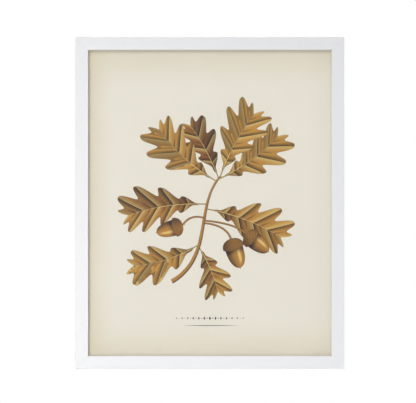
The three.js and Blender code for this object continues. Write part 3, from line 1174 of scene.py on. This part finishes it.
def leaf_meshes():
    for seed, row in enumerate(LEAF_ROWS):
        at, direction, length, bend, width, lobes, left, right, level, tone = row
        points = bent_line(on_line(TWIG_LINE, at), direction, length, bend)
        yield LEAVES.run(
            Width=width * MM,
            Lobes=float(lobes),
            Left=left,
            Right=right,
            Seed=float(seed),
            Tone=tone,
            **line_dials(points, level),
        )


piece("printed_leaves", joined(leaf_meshes()), LEAF_INK)

# %% [markdown]
# A stalk's row gives its tip, the two handles between tip and twig, and where on the twig it starts. An
# acorn's row gives the stalk that it sits on, its direction and its size. Its cup starts at the stalk's tip
# and lies in front of its nut, and the cup's rim bows forward, as a round rim seen from the side does.

# %% The twig, the stalks and the acorns
STALK_ROWS = (
    ((34, -58), (28, -40), (8, -34), 0.56),
    ((58, -50), (46, -36), (12, -30), 0.58),
    ((-44, -36), (-36, -22), (-20, -20), 0.60),
)
ACORN_ROWS = ((0, -72, 37), (1, -38, 35), (2, 196, 33))


def stalk_points(row):
    tip, tip_handle, root_handle, at = STALK_ROWS[row]
    return on_line(TWIG_LINE, at), Vector(root_handle), Vector(tip_handle), Vector(tip)


def twig_meshes():
    yield TWIGS.run(Width=3.6 * MM, Taper=0.55, **line_dials(TWIG_LINE, 1))
    for row in range(len(STALK_ROWS)):
        yield TWIGS.run(Width=1.4 * MM, Taper=-0.2, **line_dials(stalk_points(row), 5))


def acorn_meshes(machine, level, start, length, width, bow):
    """Nuts or cups: start, length, width and bow are shares of the acorn's size."""
    for row, direction, size in ACORN_ROWS:
        way = Vector((math.cos(math.radians(direction)), math.sin(math.radians(direction))))
        base = stalk_points(row)[3] + way * start * size
        dials = line_dials(bent_line(base, direction, length * size, 0), level)
        yield machine.run(Width=width * size * MM, Bow=bow * size * MM, **dials)


piece("printed_twig", joined(twig_meshes()), BARK_INK)
nuts = acorn_meshes(NUTS, level=5, start=0.25, length=1.15, width=0.4, bow=0.0)
piece("printed_nuts", joined(nuts), NUT_INK)
cups = acorn_meshes(CUPS, level=6, start=0.0, length=0.42, width=0.475, bow=0.13)
piece("printed_cups", joined(cups), CUP_INK)

# %% [markdown]
# ### The ornament under the drawing
#
# Plates like this one have a line or two of small print under the drawing. This one has a printer's
# ornament in that place: a row of lozenges that shrink towards the ends, and a fine rule that swells in the
# middle. The row is a line of points, and Geometry Nodes puts a lozenge on each.

# %% A row of lozenges
LOZENGE_SLIMNESS = 0.62
SMALL_ONES_LOSE = 0.55
ENDS_LOSE = 0.5


def lozenge_machine():
    """Every other lozenge is small, and all of them shrink towards the ends of the row."""
    dials = {"Count": 21.0, "Length": 0.1, "Height": 0.006, "Centre": (0.0, 0.0, 0.0)}
    tree = Machine("lozenges", ORNAMENT_INK, **dials)
    half = tree.dials["Length"] / 2
    row = tree.node("GeometryNodeMeshLine", {"mode": "END_POINTS"}, {
        "Count": tree.dials["Count"],
        "Start Location": tree.join(0 - half, 0.0, 0.0),
        "Offset": tree.join(half, 0.0, 0.0),
    })
    x = tree.split(tree.node("GeometryNodeInputPosition"))[0]
    small = tree.node("GeometryNodeInputIndex") % 2
    height = tree.dials["Height"] * (1 - ENDS_LOSE * abs(x / half)) * (1 - SMALL_ONES_LOSE * small)
    shape = tree.node("GeometryNodeMeshCircle", {"fill_type": "NGON"}, {"Vertices": 4, "Radius": 0.5})
    copies = tree.node("GeometryNodeInstanceOnPoints", None, {
        "Points": row,
        "Instance": shape,
        "Rotation": (RIGHT_ANGLE, 0.0, 0.0),
        "Scale": tree.join(height * LOZENGE_SLIMNESS, height, 1.0),
    })
    real = tree.node("GeometryNodeRealizeInstances", None, {"Geometry": copies})
    inputs = {"Geometry": real, "Translation": tree.dials["Centre"]}
    placed = tree.node("GeometryNodeTransform", None, inputs)
    return tree.end_with(thickened(tree, tree.node("GeometryNodeFlipFaces", None, {"Mesh": placed})))


def swelled_rule(tree, along, across, side):
    return square_arms(tree.dials["Width"] * (1 - (2 * along - 1) ** 2) ** 0.8, along)


LOZENGES = lozenge_machine()
RULES = film_machine("swelled_rule", ORNAMENT_INK, swelled_rule, points_along=65, points_across=3)

# %% Print the ornament
ORNAMENT_Z = -187.5
RULE_Z = -199.5
RULE_LENGTH = 86

centre = on_paper((0, ORNAMENT_Z), 0)
row_mesh = LOZENGES.run(Count=25.0, Length=108 * MM, Height=6 * MM, Centre=centre)
rule_line = bent_line((-RULE_LENGTH / 2, RULE_Z), 0, RULE_LENGTH, 0)
rule_mesh = RULES.run(Width=0.55 * MM, **line_dials(rule_line, 0))
piece("printed_ornament", joined([row_mesh, rule_mesh]), ORNAMENT_INK)

# %% [markdown]
# ## Hardware
#
# The back holds small stamped and turned things. Each is modelled once, as a template at the origin, and a
# machine then sets its copies in their places: all screws of one size make one mesh, and the turn buttons
# one mesh each, because each turns on its own.


# %% The machines that copy a template
def copier(name, material):
    """Sets a copy of the template on each point, turned about Y by the point's number "turn"."""
    tree = Machine(name, material, Points=None, Template=None)
    template = tree.node("GeometryNodeObjectInfo", None, {"Object": tree.dials["Template"]}, "Geometry")
    points = tree.node("GeometryNodeObjectInfo", None, {"Object": tree.dials["Points"]}, "Geometry")
    stored = {"data_type": "FLOAT"}
    turn = tree.node("GeometryNodeInputNamedAttribute", stored, {"Name": "turn"}, "Attribute")
    copies = tree.node("GeometryNodeInstanceOnPoints", None, {
        "Points": points,
        "Instance": template,
        "Rotation": tree.join(0.0, turn, 0.0),
    })
    return tree.end_with(copies)


def copies_of(machine, template_mesh, places):
    """One mesh with a copy of the template at each place, which is (x, y, z, degrees)."""
    cloud = bpy.data.meshes.new("places")
    cloud.from_pydata([place[:3] for place in places], [], [])
    turns = cloud.attributes.new("turn", "FLOAT", "POINT")
    turns.data.foreach_set("value", [math.radians(place[3]) for place in places])
    points, template = put("points", cloud), put("template", template_mesh)
    mesh = machine.run(Points=points, Template=template)
    bpy.data.objects.remove(points)
    bpy.data.objects.remove(template)
    return mesh


METAL_COPIER = copier("metal_copier", ZINC)
RUBBER_COPIER = copier("rubber_copier", RUBBER)


# %% Find the solids that the copies stand for
def nodes_of(kind):
    """The solids of one kind. Their names are the kind and where they are."""
    return sorted(node for node in frame["nodes"] if node.startswith(kind + "_"))


def middle_of(node):
    low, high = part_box(node)
    return (low + high) / 2


for kind in ("corner_nail", "turn_button", "button_screw", "hanger_screw", "bumper"):
    print(kind, "solids:", len(nodes_of(kind)))


# %% [markdown]
# ### Corner nails
#
# A corner nail is a strip of sheet steel, bent to a right angle and pressed into both rails of a mitre. Two
# joined blocks would leave a seam at the bend, so its L-shaped outline is drawn as one face and drawn out to
# the strip's width.

# %% Corner nails: a bent strip in every slot
NAIL_EDGE = 0.08 * MM


def nail_mesh():
    """Two legs that meet at a right angle at the origin, one towards -X and one towards -Z."""
    built = bmesh.new()
    half = NAIL_SHEET / 2
    outline = [(half, half), (-NAIL_LEG, half), (-NAIL_LEG, -half)]
    outline += [(-half, -half), (-half, -NAIL_LEG), (half, -NAIL_LEG)]
    face = built.faces.new(ring(built, [(x, BACK - NAIL_SUNK, z) for x, z in outline]))
    extruded = bmesh.ops.extrude_face_region(built, geom=[face])["geom"]
    far = [v for v in extruded if isinstance(v, bmesh.types.BMVert)]
    bmesh.ops.translate(built, verts=far, vec=(0, -NAIL_DEPTH, 0))
    bmesh.ops.recalc_face_normals(built, faces=built.faces)
    bmesh.ops.bevel(built, geom=built.edges[:], offset=NAIL_EDGE, segments=1, affect="EDGES")
    return closed(built, "nail")


def corner_places():
    """Where the nails of each corner stand, and how far they are turned."""
    for x_side, z_side, turn in ((1, 1, 0), (1, -1, 90), (-1, -1, 180), (-1, 1, 270)):
        for row in NAIL_ROWS:
            x = x_side * (FRAME_WIDTH / 2 - row)
            z = MIDDLE + z_side * (FRAME_HEIGHT / 2 - row)
            yield (x, 0.0, z, turn)


nails = copies_of(METAL_COPIER, nail_mesh(), list(corner_places()))
piece("corner_nails", nails, ZINC, nodes_of("corner_nail"))

# %% [markdown]
# ### Screws
#
# A pan-head screw is a turned thing, so its profile is spun about its axis. The cross in its head is cut
# with a tapered cutter, as the punch that forms it is tapered.

# %% Spin a profile, and cut the cross
SPIN_STEPS = 32
CROSS_TAPER_LOW, CROSS_TAPER_HIGH = 0.55, 1.15
CROSS_DEPTH = 0.55


def spun(profile, steps=SPIN_STEPS):
    """A closed body from (radius, height) points, spun about Y, with both ends on the axis."""
    built = bmesh.new()
    turns = [math.tau * i / steps for i in range(steps)]
    rings = []
    for radius, y in profile:
        places = [(radius * math.cos(t), y, radius * math.sin(t)) for t in turns]
        rings.append(ring(built, places if radius else [(0, y, 0)]))
    bridge(built, rings)
    bmesh.ops.recalc_face_normals(built, faces=built.faces)
    return closed(built, "spun")


def cross_cutter(arm, blade, depth, top):
    """A tapered cross that stands in the head, from depth below its top to as far above it."""
    built = bmesh.new()
    rings = []
    for taper, y in ((CROSS_TAPER_LOW, top - depth), (CROSS_TAPER_HIGH, top + depth)):
        a, b = arm * taper, blade * taper
        corners = ((a, b), (b, b), (b, a), (-b, a), (-b, b), (-a, b))
        corners += tuple((-x, -z) for x, z in corners)
        rings.append(ring(built, [(x, y, z) for x, z in corners]))
    bridge(built, rings)
    cap(built, rings)
    return closed(built, "cross")


print("a spun body has", SPIN_STEPS, "sides")

# %% A screw from its measures, in millimetres
SCREW_SIZES = {
    "button_screw": {"shank": 1.6, "head": 3.3, "height": 1.25, "length": 11, "arm": 1.9, "blade": 0.34},
    "hanger_screw": {"shank": 1.2, "head": 2.6, "height": 1.0, "length": 9, "arm": 1.5, "blade": 0.27},
}


def shank_profile(shank, length):
    """The (radius, height) points of the tip and the thread, upwards, for a shank of this radius."""
    profile = [(0, -length), (0.35 * shank, -length + 0.4 * shank), (shank, -length + 2.4 * shank)]
    thread = 0.45 * shank
    for i in range(int((length - 3 * shank) / (2 * thread))):
        y = -length + 2.6 * shank + 2 * thread * i
        profile += [(shank, y), (0.8 * shank, y + thread)]
    return profile


def head_profile(head, height):
    """The (radius, height) points of a pan head of this radius: a low wall and a dome."""
    rim = 0.3 * height
    dome = arc((0, rim), 1.0, 0, 90, 8)
    profile = [(head - 0.15 * rim, 0), (head, 0.15 * rim), (head, rim)]
    profile += [(head * x, rim + (y - rim) * (height - rim)) for x, y in dome[1:-1]]
    return [*profile, (0, height)]


def screw_mesh(shank, head, height, length, arm, blade):
    """A pan-head screw whose head sits on y = 0, with its shank towards -Y."""
    neck = [(0.9 * shank, -0.1 * height), (0.9 * shank, 0)]
    body = spun([*shank_profile(shank, length), *neck, *head_profile(head, height)])
    return cut(body, cross_cutter(arm, blade, CROSS_DEPTH * height, height))


for kind, sizes in SCREW_SIZES.items():
    print(f"{kind}: {sizes['length']} mm long, with a head {2 * sizes['head']} mm across")


# %% Set the screws of the turn buttons and of the hanger
rng = random.Random(7)


def screw_places(nodes, seat):
    """A screw stands in the middle of its solid's box, with its slot turned any way."""
    for node in nodes:
        middle = middle_of(node)
        yield (middle.x, seat, middle.z, rng.uniform(0, 90))


for kind, sizes in SCREW_SIZES.items():
    nodes = nodes_of(kind)
    measures = {name: size * MM for name, size in sizes.items()}
    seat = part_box(nodes[0])[1].y - measures["height"]
    places = list(screw_places(nodes, seat))
    screws = soften(copies_of(METAL_COPIER, screw_mesh(**measures), places))
    piece(kind + "s", screws, ZINC, nodes)


# %% [markdown]
# ### Turn buttons
#
# A turn button is punched from sheet and its tip is bent up for the finger. The outline is two circles and
# their tangents. Rings of faces go from the screw hole out to that outline, the part past the bend is
# lifted, and Solidify and Bevel give the sheet its thickness and its worn edges.

# %% Sheet metal
WORN_EDGE_ANGLE = math.radians(50)


def eased(share):
    """0 below 0 and 1 above 1, with a gentle run between them, as a bend in a sheet has."""
    share = min(1, max(0, share))
    return share * share * (3 - 2 * share)


def sheet_metal(mesh, thickness):
    """The object of a flat mesh, made a sheet of this thickness."""
    sheet = put("sheet", mesh)
    solid = sheet.modifiers.new("thickness", "SOLIDIFY")
    solid.thickness = thickness
    solid.offset = 1
    return sheet


def wear(thing, width, segments):
    """Rounds an object's sharp edges by a bevel of this width."""
    bevel = thing.modifiers.new("worn edge", "BEVEL")
    bevel.width = width
    bevel.segments = segments
    bevel.angle_limit = WORN_EDGE_ANGLE


def set_down(mesh, y):
    """The mesh moved along Y until its lowest point there is at y."""
    mesh.transform(Matrix.Translation((0, y - min(v.co.y for v in mesh.vertices), 0)))
    return mesh


print("half way along a bend the sheet is lifted by", eased(0.5), "of its rise")

# %% One turn button, with its pivot at the origin and its tip pointing down
BUTTON_PIVOT_RADIUS = 5.5 * MM
BUTTON_TIP_RADIUS = 3.6 * MM
BUTTON_REACH = 15 * MM
BUTTON_SHEET = 1 * MM
BUTTON_LIFT = 0.9 * MM
BUTTON_HOLE = 1.8 * MM
BUTTON_EDGE = 0.18 * MM
PIVOT_STEPS, TIP_STEPS, FLANK_STEPS = 28, 20, 12
BUTTON_RINGS = 20


def flank(start, end):
    """The points between two points, without these two."""
    steps = range(1, FLANK_STEPS)
    return [tuple(Vector(start).lerp(Vector(end), i / FLANK_STEPS)) for i in steps]


def button_outline():
    lean = math.degrees(math.asin((BUTTON_PIVOT_RADIUS - BUTTON_TIP_RADIUS) / BUTTON_REACH))
    wide = arc((0, 0), BUTTON_PIVOT_RADIUS, lean, 180 - lean, PIVOT_STEPS)
    tip = arc((0, -BUTTON_REACH), BUTTON_TIP_RADIUS, 180 - lean, 360 + lean, TIP_STEPS)
    return wide + flank(wide[-1], tip[0]) + tip + flank(tip[-1], wide[0])


def lift_at(z):
    """How far the sheet is lifted at this height: nothing up to the bend, all of it past it."""
    return BUTTON_LIFT * eased((-BUTTON_REACH + 2 * BUTTON_LIFT - z) / (2 * BUTTON_LIFT))


def button_mesh():
    outline = [Vector(point) for point in button_outline()]
    built = bmesh.new()
    rings = []
    for step in range(BUTTON_RINGS + 1):
        holes = [point.normalized() * BUTTON_HOLE for point in outline]
        flat = [hole.lerp(point, step / BUTTON_RINGS) for hole, point in zip(holes, outline)]
        rings.append(ring(built, [(x, lift_at(z), z) for x, z in flat]))
    bridge(built, rings)
    sheet = sheet_metal(closed(built, "button"), BUTTON_SHEET)
    wear(sheet, BUTTON_EDGE, 3)
    return set_down(evaluated(sheet), 0)


template = button_mesh()
print("a turn button has", len(template.polygons), "faces")

# %% Set the turn buttons, each on its own body
DIRECTIONS = {"top": 0, "right": 90, "bottom": 180, "left": 270}
PIVOTS = {joint["child"]: Vector(joint["pos_m"]) for joint in frame["joints"]}

for button in nodes_of("turn_button"):
    side = button.removeprefix("turn_button_").split("_")[0]
    pivot = PIVOTS[button]
    place = (pivot.x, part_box(button)[0].y, pivot.z, DIRECTIONS[side])
    mesh = soften(copies_of(METAL_COPIER, template.copy(), [place]))
    piece(button.replace("turn_", "steel_"), mesh, ZINC, [button], button)


# %% [markdown]
# ### The sawtooth hanger
#
# The hanger is a strip with a row of teeth. Its two ends lie flat on the wood, and its middle stands off, to
# leave room for the nail's head. It is drawn flat, cut across at the bends so that it has points to bend
# at, bent, and then thickened and pierced.

# %% The hanger's outline
HANGER_LOW, HANGER_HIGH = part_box("sawtooth_hanger")
HANGER_ROUND = 3 * MM
TEETH = 7
TOOTH_PITCH = 4 * MM
NOTCH_ROOT = 0.15 * MM
NOTCH_DROP = 0.1 * MM


def hanger_corner(x, z, start):
    """A rounded corner of the strip, from start for a quarter of a turn."""
    return arc((x, z), HANGER_ROUND, start, start + 90, 6)


def hanger_outline():
    """The strip's outline, going round from its lower left, with the teeth along its lower edge."""
    low, high = HANGER_LOW.z, HANGER_HIGH.z
    left, right = -HANGER_HIGH.x + HANGER_ROUND, HANGER_HIGH.x - HANGER_ROUND
    points = hanger_corner(left, low + HANGER_ROUND, 180)
    for tooth in range(TEETH):
        x = (tooth - (TEETH - 1) / 2) * TOOTH_PITCH
        points += [(x - TOOTH_PITCH / 2, low), (x - NOTCH_ROOT, -NOTCH_DROP), (x + NOTCH_ROOT, -NOTCH_DROP)]
    points += [(TEETH * TOOTH_PITCH / 2, low)]
    points += hanger_corner(right, low + HANGER_ROUND, 270)
    points += hanger_corner(right, high - HANGER_ROUND, 0)
    points += hanger_corner(left, high - HANGER_ROUND, 90)
    return points


print("the hanger's outline has", len(hanger_outline()), "points")

# %% Bend, thicken and pierce the hanger
HANGER_SHEET = 0.8 * MM
HANGER_FLAT = 12 * MM
HANGER_RAMP = 3.7 * MM
HANGER_FOOT = HANGER_HIGH.x - HANGER_FLAT
HANGER_EDGE = 0.1 * MM
HANGER_HOLE = 1.4 * MM
RAMP_STEPS = 8
PUNCH = 5 * MM


def stand_off(x):
    rise = HANGER_HIGH.y - HANGER_SHEET - HANGER_LOW.y
    return rise * eased((HANGER_FOOT - abs(x)) / HANGER_RAMP)


def bent_strip():
    built = bmesh.new()
    built.faces.new(ring(built, [(x, 0, z) for x, z in hanger_outline()]))
    for i in range(RAMP_STEPS + 1):
        for end in (-1, 1):
            at = end * (HANGER_FOOT - HANGER_RAMP * i / RAMP_STEPS)
            everything = built.verts[:] + built.edges[:] + built.faces[:]
            bmesh.ops.bisect_plane(built, geom=everything, plane_co=(at, 0, 0), plane_no=(1, 0, 0))
    for vertex in built.verts:
        vertex.co.y = stand_off(vertex.co.x)
    return closed(built, "strip")


def hanger_punches():
    """Two round bodies where the screws go through."""
    profile = [(0, -PUNCH), (HANGER_HOLE, -PUNCH), (HANGER_HOLE, PUNCH), (0, PUNCH)]
    places = [(middle_of(node).x, 0, middle_of(node).z) for node in nodes_of("hanger_screw")]
    punches = [spun(profile) for _ in places]
    for punch, place in zip(punches, places):
        punch.transform(Matrix.Translation(place))
    return joined(punches)


def hanger_mesh():
    pierced = put("hanger", cut(evaluated(sheet_metal(bent_strip(), HANGER_SHEET)), hanger_punches()))
    wear(pierced, HANGER_EDGE, 2)
    return set_down(cleaned(evaluated(pierced)), HANGER_LOW.y)


piece("sawtooth_hanger_plate", soften(hanger_mesh()), ZINC, ["sawtooth_hanger"])

# %% [markdown]
# ### Bumpers
#
# A bumper is a moulded pad: a straight wall, a rounded shoulder and a flat that touches the wall, with a
# shallow dimple in it. It is as round as a screw, so it is spun in the same way.

# %% The two bumpers
BUMPER_LOW, BUMPER_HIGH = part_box("bumper_left")
BUMPER_RADIUS = (BUMPER_HIGH.x - BUMPER_LOW.x) / 2
BUMPER_SHOULDER = 1 * MM
BUMPER_SKIRT = 0.2 * MM
BUMPER_STEPS = 40
DIMPLE = 0.2 * MM


def bumper_mesh():
    straight = BUMPER_RADIUS - BUMPER_SHOULDER
    skirt = [(0, BUMPER_LOW.y), (BUMPER_RADIUS - BUMPER_SKIRT, BUMPER_LOW.y)]
    skirt += [(BUMPER_RADIUS, BUMPER_LOW.y + BUMPER_SKIRT)]
    shoulder = arc((straight, BUMPER_HIGH.y - BUMPER_SHOULDER), BUMPER_SHOULDER, 0, 90, 8)
    dimple = [(0.45 * straight, BUMPER_HIGH.y), (0.3 * straight, BUMPER_HIGH.y - 0.75 * DIMPLE)]
    return spun([*skirt, *shoulder, *dimple, (0, BUMPER_HIGH.y - DIMPLE)], BUMPER_STEPS)


bumpers = nodes_of("bumper")
places = [(middle_of(node).x, 0.0, middle_of(node).z, 0.0) for node in bumpers]
pads = soften(copies_of(RUBBER_COPIER, bumper_mesh(), places))
piece("bumpers", pads, RUBBER, bumpers)

# %% [markdown]
# ## Studio
#
# The frame hangs in a white studio and is looked at straight on. A wide lens would show the inner sides of
# the rails, so the camera has a long lens and stands far off: sides that run away from it hardly narrow.

# %% The camera
IMAGE_WIDTH, IMAGE_HEIGHT = 416, 403
FRAME_WIDTH_IN_IMAGE = 269.0
FRAME_PLACE_IN_IMAGE = (209.9, 203.0)
METRES_PER_PIXEL = FRAME_WIDTH / FRAME_WIDTH_IN_IMAGE
LENS = 100.0
SENSOR = 36.0

camera_data = bpy.data.cameras.new("camera")
camera_data.lens = LENS
camera_data.sensor_width = SENSOR
distance = METRES_PER_PIXEL * IMAGE_WIDTH * LENS / SENSOR
camera = put("camera", camera_data)
camera.location = (
    (IMAGE_WIDTH / 2 - FRAME_PLACE_IN_IMAGE[0]) * METRES_PER_PIXEL,
    FRONT - distance,
    MIDDLE + (FRAME_PLACE_IN_IMAGE[1] - IMAGE_HEIGHT / 2) * METRES_PER_PIXEL,
)
camera.rotation_euler = (RIGHT_ANGLE, 0, 0)
bpy.context.scene.camera = camera
print(f"camera {distance:.2f} m in front of the frame")

# %% [markdown]
# ### Lamps
#
# A large soft lamp high in front draws the shadow of the moulding on the paper. Its beam is narrow and aimed
# below the frame, so the top of the frame gets a little less light than the bottom. Another lamp, at the
# left and much nearer, brightens that side. Two more light the frame's right edge and its back. The lamps
# and a pale world light the frame together, but the camera itself sees a white world. The view is set to
# Standard, which shows colours as they are.


# %% Lamps
def lamp(name, place, size, watts, target=(0, 0, MIDDLE), spread=180):
    """A round soft lamp that is turned to its target. The spread of its beam is in degrees."""
    data = bpy.data.lights.new(name, "AREA")
    data.shape = "DISK"
    data.size = size
    data.energy = watts
    data.spread = math.radians(spread)
    thing = put(name, data)
    thing.location = place
    aim = Vector(target) - Vector(place)
    thing.rotation_euler = aim.to_track_quat("-Z", "Y").to_euler()
    print(f"lamp {name}: {watts} W, {size} m across, {aim.length:.1f} m from its target")


BELOW_FRAME = (-0.2, 0, MIDDLE - 0.8)
lamp("key", (-0.95, -3.72, MIDDLE + 2.15), size=2.4, watts=6.4, target=BELOW_FRAME, spread=40)
lamp("fill", (-1.0, -1.6, MIDDLE - 0.15), size=1.2, watts=10.6)
lamp("side", (2.6, -0.5, MIDDLE + 0.5), size=1.5, watts=16)
lamp("back", (1.2, 2.2, MIDDLE + 1.2), size=1.6, watts=26)

# %% World
WORLD_LIGHT = (0.985, 0.993, 1.0)
WORLD_STRENGTH = 0.46

world = bpy.data.worlds.new("studio")
world.use_nodes = True
bpy.context.scene.world = world
sky = Tree(world.node_tree)
sky.nodes.nodes.clear()
seen = sky.node("ShaderNodeBackground", None, {"Color": (1.0, 1.0, 1.0), "Strength": 1.0})
light = sky.node("ShaderNodeBackground", None, {"Color": WORLD_LIGHT, "Strength": WORLD_STRENGTH})
is_camera = sky.node("ShaderNodeLightPath", output="Is Camera Ray")
both = sky.node("ShaderNodeMixShader", None, {0: is_camera, 1: light, 2: seen})
sky.add("ShaderNodeOutputWorld", None, {"Surface": both})
bpy.context.scene.view_settings.view_transform = "Standard"
print("world:", len(sky.nodes.nodes), "nodes")

# %% [markdown]
# ### The floor
#
# The floor is a wide pale disk well below the frame. Near the frame it is matt and solid, and further off it
# fades to a clear shader, so that it shows no edge from any side.

# %% The floor
FLOOR_BELOW = 0.6
FLOOR_RADIUS = 9.0
FADES_FROM = 0.9
FADED_AT = 2.4 * FADES_FROM


def studio_floor():
    finish = Finish("studio_floor")
    x, y, _ = finish.split(finish.place())
    away = (x * x + y * y) ** 0.5
    fade = finish.smooth(away, FADES_FROM, FADED_AT)
    dust = finish.noise(finish.place(), 3, 3.0)
    pale = finish.mix(dust, (0.86, 0.86, 0.86), (0.9, 0.9, 0.9))
    matt = finish.node("ShaderNodeBsdfDiffuse", None, {"Color": pale})
    nothing = finish.node("ShaderNodeBsdfTransparent")
    return finish.show(finish.node("ShaderNodeMixShader", None, {0: fade, 1: matt, 2: nothing}))


built = bmesh.new()
bmesh.ops.create_circle(built, cap_ends=True, segments=96, radius=FLOOR_RADIUS)
bmesh.ops.translate(built, verts=built.verts, vec=(0, 0, FRAME_LOW.z - FLOOR_BELOW))
floor = put("floor", closed(built, "floor"), studio_floor())
print(f"the floor lies {FLOOR_BELOW} m below the frame")

# %% [markdown]
# ## The solids' box
#
# The dressed object must stay in the box of its solids, so that box is printed.

# %% Print the solids' box
print("solids' box", [[round(c, 4) for c in corner] for corner in cad_box])
